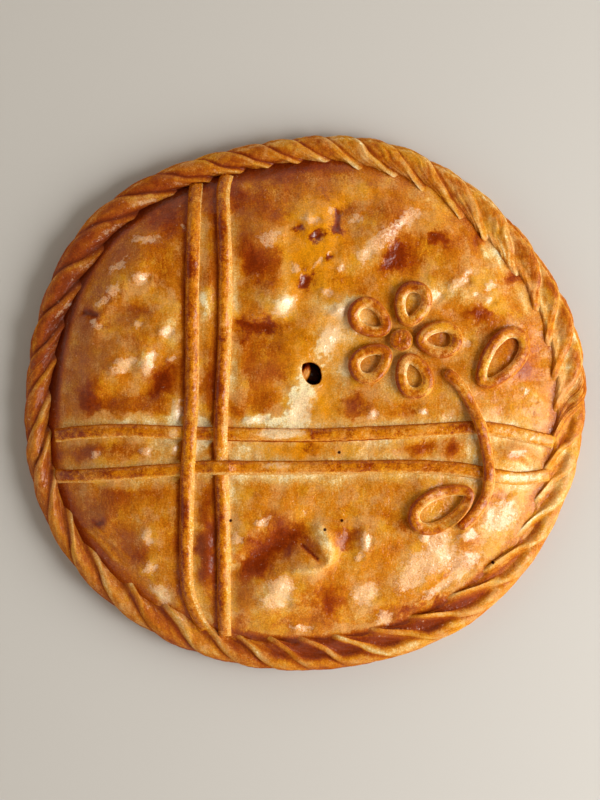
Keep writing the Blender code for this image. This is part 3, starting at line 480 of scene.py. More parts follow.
class EmpanadaSettings(bpy.types.PropertyGroup):
    """Sizes, colours and lights of the dressed pie."""

    lid_cells: IntProperty(
        name="Lid cells", description="Cells along each side of the lid's grid",
        default=288, min=40, max=300,
    )
    relief: FloatProperty(
        name="Crust relief", description="Strength of the lid's finer bumps",
        default=1.0, min=0.0, max=2.0,
    )
    strip_half_width: FloatProperty(
        name="Strip half width", description="From a strip's middle to its foot",
        default=4.0 * MM, min=2.0 * MM, max=6.0 * MM, unit="LENGTH",
    )
    strip_height: FloatProperty(
        name="Strip height", description="How far a strip stands over the lid",
        default=3.0 * MM, min=1.0 * MM, max=4.0 * MM, unit="LENGTH",
    )
    roll_radius: FloatProperty(
        name="Roll radius", description="Radius of the sprig's rolls",
        default=3.1 * MM, min=1.5 * MM, max=4.0 * MM, unit="LENGTH",
    )
    wash: FloatProperty(
        name="Egg wash", description="How glossy the glaze is",
        default=0.9, min=0.0, max=1.0, subtype="FACTOR",
    )
    pale: tint("Pale dough", "Dough that hardly browned", (0.72, 0.44, 0.14))
    ochre: tint("Ochre crust", "Crust that has just coloured", (0.62, 0.265, 0.038))
    golden: tint("Golden crust", "Lightly browned crust", (0.545, 0.172, 0.006))
    amber: tint("Amber crust", "Well browned crust", (0.40, 0.091, 0.003))
    russet: tint("Russet crust", "Darkly browned crust", (0.255, 0.035, 0.002))
    umber: tint("Umber crust", "Nearly burnt crust", (0.17, 0.019, 0.001))
    # a dull tint, and the colour of painted reflection on slopes turned from the light
    bloom: tint("Bloom", "Dusky bloom on thick glaze", (0.30, 0.096, 0.037))
    tan: tint("Tan", "Duller tint of some light patches", (0.66, 0.36, 0.14))
    honey: tint("Honey", "Yellower tint of other light patches", (0.72, 0.34, 0.012))
    # the cream tint is a painted highlight where the egg wash shines
    cream: tint("Cream", "Milky tint where the egg wash pooled", (0.82, 0.53, 0.31))
    oil: tint("Oil", "Orange oil from the filling", (0.82, 0.31, 0.003))
    floor: tint("Floor", "Plain pale floor", (0.55, 0.535, 0.52))
    sky_power: FloatProperty(
        name="Sky light", description="Power of the large soft light, in watts",
        default=22.0, min=0.0, max=200.0,
    )
    window_power: FloatProperty(
        name="Window light", description="Power of the small bright light, in watts",
        default=4.8, min=0.0, max=200.0,
    )


# ---- Form of the pie, in millimetres, for arrays of places


def rim_reach(angle):
    """Distance from the centre to the outside of the rope edge, along an angle."""
    reach = MEAN_REACH
    for count, size, turn in REACH_WAVES:
        reach = reach + size * np.cos(count * (angle - math.radians(turn)))
    return reach


def twist(angle):
    """Turns of the rope about its own core, in strands passed, up to an angle round the rim."""
    turns = TWISTS_ROUND_RIM * angle / math.tau
    for count, size, phase in TWIST_WAVES:
        turns = turns + size * np.sin(count * angle + math.radians(phase))
    return turns


def twist_angle(turns):
    """The angle round the rim at which the twist reaches a number of strands."""
    per_strand = math.tau / TWISTS_ROUND_RIM
    angle = turns * per_strand
    for _ in range(12):
        angle = angle - (twist(angle) - turns) * per_strand
    return angle


def strand_reach(phase):
    """How far the rope's surface is from its core, as a share of its radius, across one strand."""
    swing = (phase - 0.5) * math.tau / STRANDS
    side = STRAND_OFFSET * np.sin(swing)
    return STRAND_OFFSET * np.cos(swing) + np.sqrt((1.0 - STRAND_OFFSET) ** 2 - side**2)


def blots(x, y, table, firmness=1):
    """Sum of oval patches at each place, soft or with a firm edge."""
    total = np.zeros_like(x)
    for at_x, at_y, long_radius, short_radius, turn, size in table:
        c, s = math.cos(math.radians(turn)), math.sin(math.radians(turn))
        along = ((x - at_x) * c + (y - at_y) * s) / long_radius
        across = ((y - at_y) * c - (x - at_x) * s) / short_radius
        total += size * np.exp(-((along**2 + across**2) ** firmness))
    return total


def waves(x, y, size, seed):
    """Smooth random waves of a given size, between about -1 and 1."""
    turns = np.random.default_rng(seed).random((WAVE_CELLS, WAVE_CELLS)) * math.tau
    u, v = x / size, y / size
    cell_u, cell_v = np.floor(u).astype(int), np.floor(v).astype(int)
    u, v = u - cell_u, v - cell_v
    ease_u = u**3 * (u * (u * 6 - 15) + 10)
    ease_v = v**3 * (v * (v * 6 - 15) + 10)
    total = 0.0
    for step_u, weight_u in ((0, 1 - ease_u), (1, ease_u)):
        for step_v, weight_v in ((0, 1 - ease_v), (1, ease_v)):
            turn = turns[(cell_u + step_u) % WAVE_CELLS, (cell_v + step_v) % WAVE_CELLS]
            slope = np.cos(turn) * (u - step_u) + np.sin(turn) * (v - step_v)
            total = total + slope * weight_u * weight_v
    return total * 1.5


def clouds(x, y, size, seed, octaves=4):
    """Waves of several sizes together."""
    return sum(waves(x, y, size / 2**k, seed + k) * 0.55**k for k in range(octaves))


def strayed(x, y, *steps):
    """The places moved by clouds: their reach, size and octaves, and a seed for each direction."""
    moved = [x, y]
    for reach, size, octaves, *seeds in steps:
        for axis, seed in enumerate(seeds):
            moved[axis] = moved[axis] + reach * clouds(x, y, size, seed, octaves)
    return moved


def smooth_step(low, high, value):
    """0 at and before one value, 1 from the other on, and a smooth change between them."""
    share = np.clip((value - low) / (high - low), 0.0, 1.0)
    return share * share * (3.0 - 2.0 * share)


def bell(value, middle, width, firmness=2):
    """1 at the middle, fading to 0 on both sides."""
    return np.exp(-(((value - middle) / width) ** firmness))


def around(table, clockwise):
    """A value that a table gives at some clockwise angles, at any angle."""
    at, values = zip(*table)
    return np.interp(np.degrees(clockwise) % 360.0, at, values)


def lid_share(x, y):
    """How far out a place is, from 0 in the middle to 1 at the lid's edge."""
    return np.minimum(np.hypot(x, y) / (rim_reach(np.arctan2(y, x)) - ROPE_HALF_WIDTH), 1.0)


def line_gap(x, y, *lines):
    """Distance to the nearest line of points, and how far each place lies on its lit side."""
    nearest, lit = np.full_like(x, FAR_AWAY), np.zeros_like(x)
    for (ax, ay), (bx, by) in (ends for points in lines for ends in zip(points, points[1:])):
        dx, dy = bx - ax, by - ay
        share = np.clip(((x - ax) * dx + (y - ay) * dy) / (dx * dx + dy * dy), 0.0, 1.0)
        off_x, off_y = x - ax - share * dx, y - ay - share * dy
        away = np.hypot(off_x, off_y) + 1e-9
        side = (off_x * LIT_X + off_y * LIT_Y) / away
        lit = np.where(away < nearest, side, lit)
        nearest = np.minimum(nearest, away)
    return nearest, lit


def off_strips(x, y):
    """The same for the middle lines of the strips."""
    return line_gap(x, y, *STRIP_ROUTES.values())


def facets(x, y):
    """Height that gives each facet of the sheen its slope towards the light."""
    total = np.zeros_like(x)
    ragged = strayed(x, y, (1.1, 5.0, 1, 15, 17), (0.5, 2.4, 1, 16, 18))
    for at_x, at_y, *oval, slope in SHEEN:
        toward = (x - at_x) * LIT_X + (y - at_y) * LIT_Y
        total -= slope * toward * blots(*ragged, ((at_x, at_y, *oval, 1.0),), 2)
    return total


def folds(x, y, column):
    """What all the folds add to the height (column 2) or to the bake, with the painted shade of the
    slits (column 3).
    """
    return sum(row[column] * bell(line_gap(x, y, row[0])[0], 0.0, row[1]) for row in FOLDS)


def lid_height(x, y, relief=1.0):
    """Height of the lid's upper side, with the baked crust's finer relief, but not the vent."""
    angle = np.arctan2(y, x)
    share = lid_share(x, y)
    power = LID_POWER + LID_POWER_SWING * np.cos(angle - math.radians(LID_STEEP_SIDE))
    filled = FILLED_EDGE * (0.5 + 0.5 * np.cos(angle - math.radians(FILLED_SIDE)))
    dome = LID_EDGE_HEIGHT + filled + (LID_RISE - filled) * (1.0 - share**power) ** LID_ROUND
    fade = np.minimum((1.0 - share) / LUMP_FADE, 1.0)
    fine = blots(x, y, FINE_RELIEF)
    fine += 0.75 * waves(x, y, 17.0, 11) + 0.46 * waves(x, y, 8.0, 12)
    fine += 0.20 * waves(x, y, 3.6, 13)
    fine += facets(x, y) + folds(x, y, 2)
    fine -= 0.5 * bell(off_strips(x, y)[0], 5.5, 2.5)
    ripple = waves(angle * 30.0, share * 150.0, 5.0, 14)
    fine += 0.5 * ripple * smooth_step(0.80, 0.92, share)
    return dome + (1.15 * blots(x, y, LUMPS) + fine * relief) * fade


# ---- Meshes


def add_object(name, data):
    """Puts a mesh, a light or a camera into the scene."""
    made = bpy.data.objects.new(name, data)
    bpy.context.scene.collection.objects.link(made)
    return made


def new_piece(name, bm):
    """Turns a bmesh into an object of the scene."""
    mesh = bpy.data.meshes.new(name)
    bm.to_mesh(mesh)
    bm.free()
    mesh.shade_smooth()
    return add_object(name, mesh)


def points_of(piece):
    """The piece's points as three arrays."""
    flat = np.empty(len(piece.data.vertices) * 3)
    piece.data.vertices.foreach_get("co", flat)
    return flat.reshape(-1, 3).T.copy()


def move_points(piece, x, y, z):
    """Puts the piece's points at places given in millimetres."""
    flat = np.column_stack((x, y, z)).astype(np.float32).ravel() * MM
    piece.data.vertices.foreach_set("co", flat)
    piece.data.update()


def paint(piece, **layers):
    """Stores one number for each point under each name, nought where a dough layer isn't given."""
    blank = np.zeros(len(piece.data.vertices))
    for name, values in {**dict.fromkeys(DOUGH_LAYERS, blank), **layers}.items():
        layer = piece.data.attributes.new(name, "FLOAT", "POINT")
        layer.data.foreach_set("value", np.clip(values, 0.0, 1.0).astype(np.float32))


def finish_piece(piece, material, nodes):
    """Gives the piece its material, and the solids and the slot that it stands for."""
    piece.data.materials.append(material)
    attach(piece, "root")
    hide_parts(*nodes)


def ring_bmesh(stations, sides):
    """A closed ring of unit radius with a thin round section: a grid rolled up both ways."""
    bm = bmesh.new()
    bmesh.ops.create_grid(bm, x_segments=stations, y_segments=sides, size=1.0)
    for vert in bm.verts:
        angle, turn = (vert.co.x + 1.0) * math.pi, (vert.co.y + 1.0) * math.pi
        away = 1.0 + 0.1 * math.cos(turn)
        vert.co = (away * math.cos(angle), away * math.sin(angle), 0.1 * math.sin(turn))
    bmesh.ops.remove_doubles(bm, verts=bm.verts, dist=1e-6)
    bmesh.ops.recalc_face_normals(bm, faces=bm.faces)
    return bm


def rod_bmesh(stations, sides):
    """A closed rod along Z, from 0 to 1, of unit radius."""
    bm = bmesh.new()
    bmesh.ops.create_cone(bm, cap_ends=True, segments=sides, radius1=1.0, radius2=1.0, depth=1.0)
    bmesh.ops.translate(bm, verts=bm.verts, vec=(0, 0, 0.5))
    long_edges = [e for e in bm.edges if abs(e.verts[0].co.z - e.verts[1].co.z) > 0.5]
    bmesh.ops.subdivide_edges(bm, edges=long_edges, cuts=stations - 2, use_grid_fill=True)
    return bm


def smooth_line(points, step, closed=False):
    """Evenly spaced points of a Catmull-Rom curve through the given ones, as two arrays."""
    knots = np.array(points, float)
    if closed:
        knots = np.vstack((knots[-1], knots, knots[:2]))
    else:
        knots = np.vstack((2 * knots[0] - knots[1], knots, 2 * knots[-1] - knots[-2]))
    t = np.linspace(0, 1, 24, endpoint=False)[:, None]
    spans = []
    for p0, p1, p2, p3 in zip(knots, knots[1:], knots[2:], knots[3:]):
        spans.append(
            0.5 * (2 * p1 + (p2 - p0) * t + (2 * p0 - 5 * p1 + 4 * p2 - p3) * t**2
                   + (3 * p1 - p0 - 3 * p2 + p3) * t**3)
        )
    fine = np.vstack(spans + [knots[-2][None]])
    length = np.concatenate(([0.0], np.cumsum(np.hypot(*np.diff(fine, axis=0).T))))
    count = max(2, round(length[-1] / step))
    goal = np.linspace(0, length[-1], count + 1)
    if closed:
        goal = goal[:-1]
    return np.interp(goal, length, fine[:, 0]), np.interp(goal, length, fine[:, 1])


class Laid:
    """A band or roll of dough lying on the pie: its middle line, sideways directions and rails."""

    order = []  # all that has been laid so far

    def __init__(self, line_x, line_y, closed, half_width, height, sink, stiff):
        self.x, self.y, self.closed = line_x, line_y, closed
        self.half_width, self.height = half_width, height
        ahead_x, ahead_y = self.slope(line_x), self.slope(line_y)
        length = np.hypot(ahead_x, ahead_y)
        self.side_x, self.side_y = -ahead_y / length, ahead_x / length
        self.step = float(np.mean(length)) / 2
        self.rails = [self.settle(share, sink, stiff) for share in (-1.0, 0.0, 1.0)]

    def slope(self, line):
        """How much a list of numbers grows at each point of the line, over two steps."""
        if self.closed:
            return np.roll(line, -1) - np.roll(line, 1)
        return np.gradient(line) * 2

    def settle(self, share, sink, stiff):
        """Heights of one rail: on the lid, over what was laid before, bridging tight dips."""
        x = self.x + self.side_x * self.half_width * share
        y = self.y + self.side_y * self.half_width * share
        floor = lid_height(x, y) - sink
        for other in Laid.order:
            floor = np.maximum(floor, other.top_near(x, y, self.half_width * 0.6))
        sag = self.step**2 / (2.0 * stiff)
        heights = floor.copy()
        for _ in range(int(40 / self.step)):
            if self.closed:
                bridge = (np.roll(heights, 1) + np.roll(heights, -1)) / 2 - sag
            else:
                bridge = np.full_like(heights, FAR_BELOW)
                bridge[1:-1] = (heights[:-2] + heights[2:]) / 2 - sag
            heights = np.maximum(floor, bridge)
        return heights

    def top_near(self, x, y, margin):
        """Height of its upper side at or beside each place, or far below away from it."""
        gap = np.hypot(x[:, None] - self.x, y[:, None] - self.y)
        near = gap.argmin(axis=1)
        distance = gap[np.arange(len(x)), near]
        rail = np.max(self.rails, axis=0)[near] + self.height
        cover = smooth_step(self.half_width + margin + 1.5, self.half_width, distance)
        return np.where(cover > 0.0, rail - (1.0 - cover) * self.height * 1.2, FAR_BELOW)


def make_lid(settings):
    """The lid and all under it: a fine grid drawn out to the pie's outline, with its vent."""
    bm = bmesh.new()
    cells = settings.lid_cells
    bmesh.ops.create_grid(bm, x_segments=cells, y_segments=cells, size=1.0)
    extruded = bmesh.ops.extrude_face_region(bm, geom=list(bm.faces), use_keep_orig=True)
    base = [item for item in extruded["geom"] if isinstance(item, bmesh.types.BMFace)]
    for vert in {vert for face in base for vert in face.verts}:
        vert.co.z = -1.0
    bmesh.ops.dissolve_faces(bm, faces=base)
    bmesh.ops.recalc_face_normals(bm, faces=bm.faces)
    zone = VENT_FINE_ZONE / (MEAN_REACH - ROPE_HALF_WIDTH)
    vent = Vector(VENT_AT) / (MEAN_REACH - ROPE_HALF_WIDTH)
    near_vent = [
        edge for edge in bm.edges
        if all(vert.co.z > -0.5 and (vert.co.xy - vent).length < zone for vert in edge.verts)
    ]
    bmesh.ops.subdivide_edges(bm, edges=near_vent, cuts=3, use_grid_fill=True)
    lid = new_piece("pastry_lid", bm)
    u, v, level = points_of(lid)
    x = u * np.sqrt(1.0 - v**2 / 2)
    y = v * np.sqrt(1.0 - u**2 / 2)
    reach = rim_reach(np.arctan2(y, x)) - ROPE_HALF_WIDTH
    x, y = x * reach, y * reach
    height = lid_height(x, y, settings.relief)
    height, hole, flap = sink_vent(x, y, height)
    move_points(lid, x, y, np.where(level < -0.5, 0.0, height))
    colour_lid(lid, x, y, hole, flap)
    finish_piece(lid, dough_material("crust_lid", settings), ["crust"])


def sink_vent(x, y, height):
    """The lid's height with the vent in it, how deep each place is, and where its flap is."""
    dx, dy = x - VENT_AT[0], y - VENT_AT[1]
    angle, away = np.arctan2(dy, dx), np.hypot(dx, dy)
    corners, reaches = zip(*VENT_CORNERS)
    turned = (np.degrees(angle) - corners[0]) % 360.0 + corners[0]
    edge = 1.0 / np.interp(turned, corners, 1.0 / np.array(reaches))
    hole = smooth_step(0.0, 1.0, (edge - away) / VENT_WALL)
    flap = blots(x, y, (VENT_FLAP,), 3)
    hole = hole * (1.0 - VENT_FLAP_RISE * flap)
    return height * (1 - hole) + VENT_FLOOR * hole, hole, flap


def colour_lid(lid, x, y, hole, flap):
    """Works out how the lid browned, soaked up oil and took its egg wash, with painted shade,
    highlights and reflection.
    """
    warped = strayed(x, y, (3.0, 11.0, 4, 31, 41), (1.2, 3.5, 4, 33, 43))
    ragged = strayed(x, y, (1.6, 6.0, 4, 34, 44), (0.7, 2.4, 2, 36, 46))
    share = lid_share(x, y)
    angle = np.arctan2(y, x)
    bake = LID_BAKE + blots(*warped, BROWNING_AND_PAINTED_LIGHT)
    torn_edge = 0.5 * clouds(x, y, 4.0, 56, 2)
    for *oval, change in PATCHES:
        inside = blots(*ragged, ((*oval, 1.0),)) + torn_edge
        bake += change * smooth_step(0.30, 0.62, inside) * (blots(x, y, ((*oval, 1.0),)) > 0.05)
    bake += 0.06 * np.cos(angle - math.radians(165)) * share
    bake += 0.09 * clouds(x, y, 14.0, 51) + folds(x, y, 3)
    # paler halos round the sheen facets: painted highlight
    glow = [
        (at_x, at_y, 2.1 * long_radius + 1, 2.1 * short_radius + 1, turn, 0.06)
        for at_x, at_y, long_radius, short_radius, turn, slope in SHEEN
    ]
    bake -= np.minimum(blots(*warped, glow), 0.08)
    # paler beside a strip's lit side, partly pale dough the strip kept from browning and partly
    # painted light; darker beside its shaded side: painted shade
    gap, lit = off_strips(x, y)
    bake -= 0.20 * bell(gap, 4.0, 4.5) * smooth_step(-0.7, -0.3, lit)
    bake += 0.30 * bell(gap, 4.0, 2.4) * smooth_step(-0.5, -0.9, lit)
    # darker towards the rope edge at the back left, turned from the light: painted shade; and
    # darker and scorched in its valley, partly painted shade
    edge = smooth_step(0.90, 0.97, share)
    bake += 0.40 * edge * smooth_step(-0.3, 0.7, np.cos(angle - math.radians(150)))
    # nearly black deep in the vent: painted shade
    char = smooth_step(0.55, 0.98, hole) * 0.95
    clockwise = -angle % math.tau
    valley = around(LID_VALLEY, clockwise) * smooth_step(0.905, 0.935, share)
    bake = bake * (1 - valley) + 0.95 * valley
    char = np.maximum(char, 0.6 * valley * smooth_step(0.4, 0.75, valley))
    # the vent's torn wall, browned, with a paler flap
    cut = smooth_step(0.02, 0.15, hole)
    torn = 0.36 + 0.50 * smooth_step(17.0, 20.5, y)
    bake = bake * (1 - cut) + (0.86 * (1.0 - flap) + torn * flap) * cut
    # each sheen facet also gets more glaze and a cream tint that is a painted highlight
    paint(
        lid, bake=bake, bloom=blots(*warped, PAINTED_REFLECTION) * 0.9, oil=blots(*warped, OIL), char=char,
        gloss=blots(*ragged, [(*row[:5], 1.0) for row in SHEEN], 2),
    )


def make_rim(settings):
    """The twisted rope edge, every strand with a size, bake and crease of its own."""
    stations = TWISTS_ROUND_RIM * RIM_STATIONS
    rim = new_piece("rope_rim", ring_bmesh(stations, RIM_SIDES))
    x, y, z = points_of(rim)

    # where each point lies: its turn round the section, and how many strands come before it
    station = np.round(np.arctan2(y, x) / math.tau * stations)
    middle = math.radians(ROPE_SEEN_FROM + ROPE_SEEN_TO) / 2
    half_seen = math.radians(ROPE_SEEN_TO - ROPE_SEEN_FROM) / 2
    off = np.arctan2(z, np.hypot(x, y) - 1.0) - middle
    off = np.where(off < -math.pi, off + math.tau, off)
    hidden = np.sign(off) * half_seen * (math.pi - np.abs(off)) / (math.pi - half_seen)
    lead = np.where(np.abs(off) > half_seen, hidden, off)
    turn = off + middle
    passed = station / RIM_STATIONS - STRANDS * (lead + middle) / math.tau
    tail = 0.40 * smooth_step(1.6, 2.7, turn) * smooth_step(3.7, 3.0, turn)
    tail = tail * around(RIM_TAIL, -twist_angle(passed) % math.tau)
    angle = twist_angle(passed - tail)
    clockwise = -angle % math.tau
    seen = smooth_step(math.pi, half_seen, np.abs(off))
    strand = STRANDS * turn / math.tau + twist(angle) + tail
    place_x, place_y = np.cos(angle) * RIM_PLACE, np.sin(angle) * RIM_PLACE
    strand = strand + 0.10 * waves(place_x + turn * 4, place_y, 16.0, 64) * seen
    phase = strand % 1.0
    which = np.floor(strand).astype(int) % TWISTS_ROUND_RIM

    # its surface: strands of several sizes, creased between them, hollowed, combed and dented
    rng = np.random.default_rng(7)
    size, tone, depth, lean = rng.uniform(-1, 1, (4, TWISTS_ROUND_RIM))
    outer = smooth_step(1.2, 0.2, turn)
    inner = smooth_step(1.5, 2.6, turn)
    smooth_outer = 1 - outer * around(RIM_OUTER_SMOOTH, clockwise)
    crease = (0.70 + 0.20 * depth[which] + 0.08 * inner) * smooth_outer
    lopsided = 0.64 + 0.08 * lean[which] - 0.12 * inner
    reach = 1.0 - crease * (1.0 - strand_reach(phase**lopsided))
    dish = bell(turn, 2.0, 0.62, 4) * bell(phase, 0.61, 0.31, 4)
    hollow = dish * around(RIM_HOLLOW, clockwise)
    body = np.sin(math.pi * phase)
    reach = reach - hollow + 0.05 * size[which] * body * seen
    combed = around(RIM_COMBED, clockwise)
    comb = waves(strand * 8.0, turn * 1.6 + which * 3.0, 1.0, 61)
    comb += 0.5 * waves(strand * 15.0, turn * 2.4 + which * 5.0, 1.0, 62)
    dents = waves(strand * 3.0, turn * 2.6, 1.0, 65)
    reach = reach + (0.026 * combed * comb + 0.032 * dents) * seen * body**0.5
    narrow = 0.16 - 0.08 * smooth_step(2.0, 3.1, turn)
    tip = smooth_step(1.7, 2.5, turn) * seen
    tip = tip * bell(phase + 0.06 * inner, 0.22, narrow)
    tip = tip * around(RIM_TIPS, clockwise) * (0.75 + 0.6 * tone[which])

    # where it lies: round the pie, its inner half drawn in over the lid and resting on it
    out = rim_reach(angle) - ROPE_HALF_WIDTH * (1.0 - reach * np.cos(turn)) - 2.0 * tip
    spread = around(RIM_SPREAD, clockwise)
    out = out - spread * smooth_step(1.2, 2.7, turn) * smooth_step(4.2, 3.4, turn)
    up = ROPE_LIFT + ROPE_HALF_HEIGHT * (1.0 + reach * np.sin(turn)) + 1.2 * tip
    over = 2.4 - 4.4 * smooth_step(2.25, 3.0, turn) + 3.2 * (reach - 0.9) + 0.6 * tip
    over = over - 3.5 * (1.0 - np.clip(spread / 2.5, 0.0, 1.0))
    rise = lid_height(out * np.cos(angle), out * np.sin(angle)) + over - up
    laid = smooth_step(1.2, 1.6, turn) * smooth_step(3.35, 3.15, turn)
    up = up + 0.5 * (rise + np.sqrt(rise**2 + 0.6)) * laid
    move_points(rim, out * np.cos(angle), out * np.sin(angle), np.maximum(up, ROPE_LIFT))

    # how it browned, with painted shade in its grooves and on the side turned from the light, and
    # painted glints
    groove = bell(phase, 1.0, 0.13) + bell(phase, 0.0, 0.035)
    crest = bell(phase, 0.16, 0.07)
    bake = around(RIM_BAKE, clockwise) + 0.11 * tone[which] * seen
    bake += groove * around(RIM_GROOVE_BAKE_AND_SHADE, clockwise) * smooth_outer * seen
    bake -= 0.10 * crest * smooth_outer * seen
    bake += tip * around(RIM_TIP_BAKE, clockwise)
    bake += dish * around(RIM_HOLLOW_BAKE, clockwise)
    bake += 0.10 * smooth_step(0.3, -0.3, turn) * seen
    # the inner foot is darker on the side turned from the light: painted shade in the valley
    shaded_side = bell(np.degrees(clockwise), 212.0, 30.0, 4)
    bake += 0.50 * shaded_side * smooth_step(2.4, 2.9, turn)
    bake += (0.10 * waves(strand * 3.0, turn * 1.5, 1.0, 63) - 0.06 * combed * comb) * seen
    bake += 0.09 * clouds(place_x + turn * 8, place_y - turn * 3, 4.5, 66, 3) * seen
    # painted glints on the lit inner sides of the strands: paler, cream-tinted and more glazed
    glint = bell(turn, 2.15, 0.42) * bell(phase, 0.42, 0.22)
    glint = glint * around(RIM_GLINT, clockwise) * (0.8 + 0.5 * size[which])
    bake -= 0.26 * glint
    # dark lines in the creases and a dark inner foot on the shaded side: partly painted shade
    slit = bell(phase, 1.0, 0.06) * smooth_step(0.5, 1.2, turn) * smooth_outer * seen
    char = (0.08 + 0.20 * shaded_side) * slit + 0.4 * shaded_side * smooth_step(2.7, 3.1, turn)
    glaze = dish * smooth_step(0.2, 0.45, around(RIM_HOLLOW_BAKE, clockwise))
    oily_side = bell(np.degrees(clockwise), 78.0, 24.0, 6)
    # a dusky tint on the side turned from the light: painted reflection of the dim room
    dusky = 0.42 * bell(np.degrees(clockwise), 170.0, 62.0, 4)
    paint(
        rim, bake=bake, bloom=0.16 + dusky * (0.6 + 0.4 * outer), oil=0.30 * glaze * oily_side,
        char=char, gloss=0.60 * glint, strand=strand, turn=turn, combed=combed * seen,
    )
    finish_piece(rim, dough_material("crust_rim", settings), ["crust"])


def make_filling():
    """The bit of filling at the vent's foot: a dark, wet lump."""
    bm = bmesh.new()
    bmesh.ops.create_icosphere(bm, subdivisions=5, radius=1.0)
    filling = new_piece("vent_filling", bm)
    x, y, z = points_of(filling)
    lumpy = 1.0 + 0.16 * waves(x * 2 + z, y * 2 - z, 1.0, 71)
    lumpy += 0.05 * waves(x * 6, y * 6 + z * 5, 1.0, 72)
    wide, tall = FILLING_WIDTH / 2, FILLING_HEIGHT / 2
    at_x, at_y = VENT_AT
    move_points(
        filling, at_x + x * wide * lumpy, at_y + y * wide * lumpy,
        VENT_FLOOR + tall + z * tall * lumpy,
    )
    finish_piece(filling, filling_material(), ["filling"])


def rounded(angle, squareness):
    """A point of a round-cornered square, for a turn round its middle."""
    c, s = np.cos(angle), np.sin(angle)
    power = 2 / squareness
    return np.sign(c) * np.abs(c) ** power, np.sign(s) * np.abs(s) ** power


def lay_rod(name, band, section):
    """Wraps a closed rod, or a ring if the band is closed, round the band's middle line."""
    count = len(band.x)
    if band.closed:
        piece = new_piece(name, ring_bmesh(count, ROD_SIDES))
        x, y, z = points_of(piece)
        station = np.round(np.arctan2(y, x) / math.tau * count).astype(int) % count
        turn = np.arctan2(z, np.hypot(x, y) - 1.0)
    else:
        piece = new_piece(name, rod_bmesh(count, ROD_SIDES))
        x, y, z = points_of(piece)
        station = np.round(z * (count - 1)).astype(int)
        turn = np.arctan2(y, x)
    low, mid, high = (rail[station] for rail in band.rails)
    along = station * band.step
    across, up = section(turn, along)
    tilt = np.clip(across / band.half_width, -1.0, 1.0)
    ground = mid * (1 - np.abs(tilt)) + np.where(tilt > 0, high, low) * np.abs(tilt)
    # +across is to the left of the line, where the third rail lies
    x = band.x[station] + band.side_x[station] * across
    y = band.y[station] + band.side_y[station] * across
    move_points(piece, x, y, ground + up)
    mesh = bmesh.new()
    mesh.from_mesh(piece.data)
    bmesh.ops.recalc_face_normals(mesh, faces=mesh.faces)
    mesh.to_mesh(piece.data)
    mesh.free()
    Laid.order.append(band)
    return piece, turn, along, across, up


def make_strips(settings):
    """The four strips, each laid over those before it, cut with one steep and one sloping flank."""
    half_width, height = settings.strip_half_width / MM, settings.strip_height / MM
    material = dough_material("crust_strip", settings)
    Laid.order.clear()
    for seed, (node, route) in enumerate(STRIP_ROUTES.items()):
        line_x, line_y = smooth_line(route, LINE_STEP)
        inside_rope = rim_reach(np.arctan2(line_y, line_x)) - 2.0 * ROPE_HALF_WIDTH
        clear = inside_rope - np.hypot(line_x, line_y) > STRIP_CLEAR_OF_ROPE
        band = Laid(
            line_x[clear], line_y[clear], closed=False, half_width=half_width,
            height=height - CROSSING_PRESS, sink=STRIP_SINK, stiff=STRIP_STIFFNESS,
        )
        lit_side = band.side_x * LIT_X + band.side_y * LIT_Y

        def toward_light(along, across):
            """How far across a place lies, from -1 at the shaded foot to 1 at the lit one."""
            lit = lit_side[np.round(along / band.step).astype(int)]
            return across / half_width * np.sign(lit), np.abs(lit)

        def section(turn, along):
            """How far across and up each point of the strip lies."""
            wide, tall = rounded(turn, STRIP_SQUARENESS)
            ragged = 1.0 + 0.05 * waves(along, turn * 0 + seed * 7, 9.0, 81)
            ragged += 0.03 * waves(along, turn, 2.2, 82)
            across = half_width * wide * ragged * (1.0 - 0.2 * np.maximum(tall, 0))
            share, lit = toward_light(along, across)
            thick = (height + 0.1) * (1.0 + 0.06 * waves(along, turn * 0 + seed * 5, 13.0, 83))
            thick = thick * (1.0 - (0.08 + 0.26 * lit) * smooth_step(-0.3, 1.0, share) * (tall > 0))
            dent = 0.16 * waves(along, across, 2.4, 86) * (tall > 0.8)
            return across, thick * tall + 0.25 * (tall > 0) + dent

        piece, turn, along, across, up = lay_rod("dough_" + node, band, section)
        x, y = points_of(piece)[:2] / MM
        share, lit = toward_light(along, across)
        share = share + 0.12 * waves(along, turn, 3.0, 84)
        flank_front, flank_back = STRIP_FLANKS[node]
        flank = flank_front + (flank_back - flank_front) * smooth_step(-60.0, 10.0, y)
        top = smooth_step(flank + 0.12, flank - 0.12, share) * (up > 0)
        fleck = waves(along, across, 9.0, 85 + seed) * 0.13
        fleck += waves(along, across * 1.5, 3.0, 89) * 0.16
        # browner on the half turned from the light: painted shade
        fleck += 0.10 * smooth_step(0.1, -0.5, share) * lit
        # paler and cream-tinted where the egg wash shines: painted highlight
        sheen = blots(x + 0.5 * waves(x, y, 2.5, 98), y, STRIP_SHEEN, 3)
        bake = 0.24 + 0.30 * top + (fleck + blots(x, y, STRIP_BROWNING_AND_PAINTED_HIGHLIGHT) - 0.30 * sheen) * top
        if node == "strip_across_back":
            # its lit foot browned, between the other strips and the sprig
            lit_foot = smooth_step(0.72, 0.86, share) * smooth_step(62.0, 40.0, x) * (x > -45.0)
            bake = bake + 0.45 * lit_foot
        # dark on the flank and foot turned from the light: painted shade over a browner edge
        shaded = smooth_step(-0.70, -0.92, share)
        bake = bake + (0.66 - bake) * shaded
        paint(piece, bake=bake, oil=0.3 * top, gloss=sheen * top)
        finish_piece(piece, material, [node])


def loop_line(middle, heading, length, width):
    """A loop's closed line: an oval, narrower towards its foot."""
    t = np.linspace(0, math.tau, 48, endpoint=False)
    c, s = math.cos(math.radians(heading)), math.sin(math.radians(heading))
    along = length / 2 * np.cos(t)
    across = width / 2 * np.sin(t) * (1.0 + LOOP_TAPER * np.cos(t))
    x, y = middle[0] + along * c - across * s, middle[1] + along * s + across * c
    return smooth_line(np.column_stack((x, y)), LINE_STEP, closed=True)


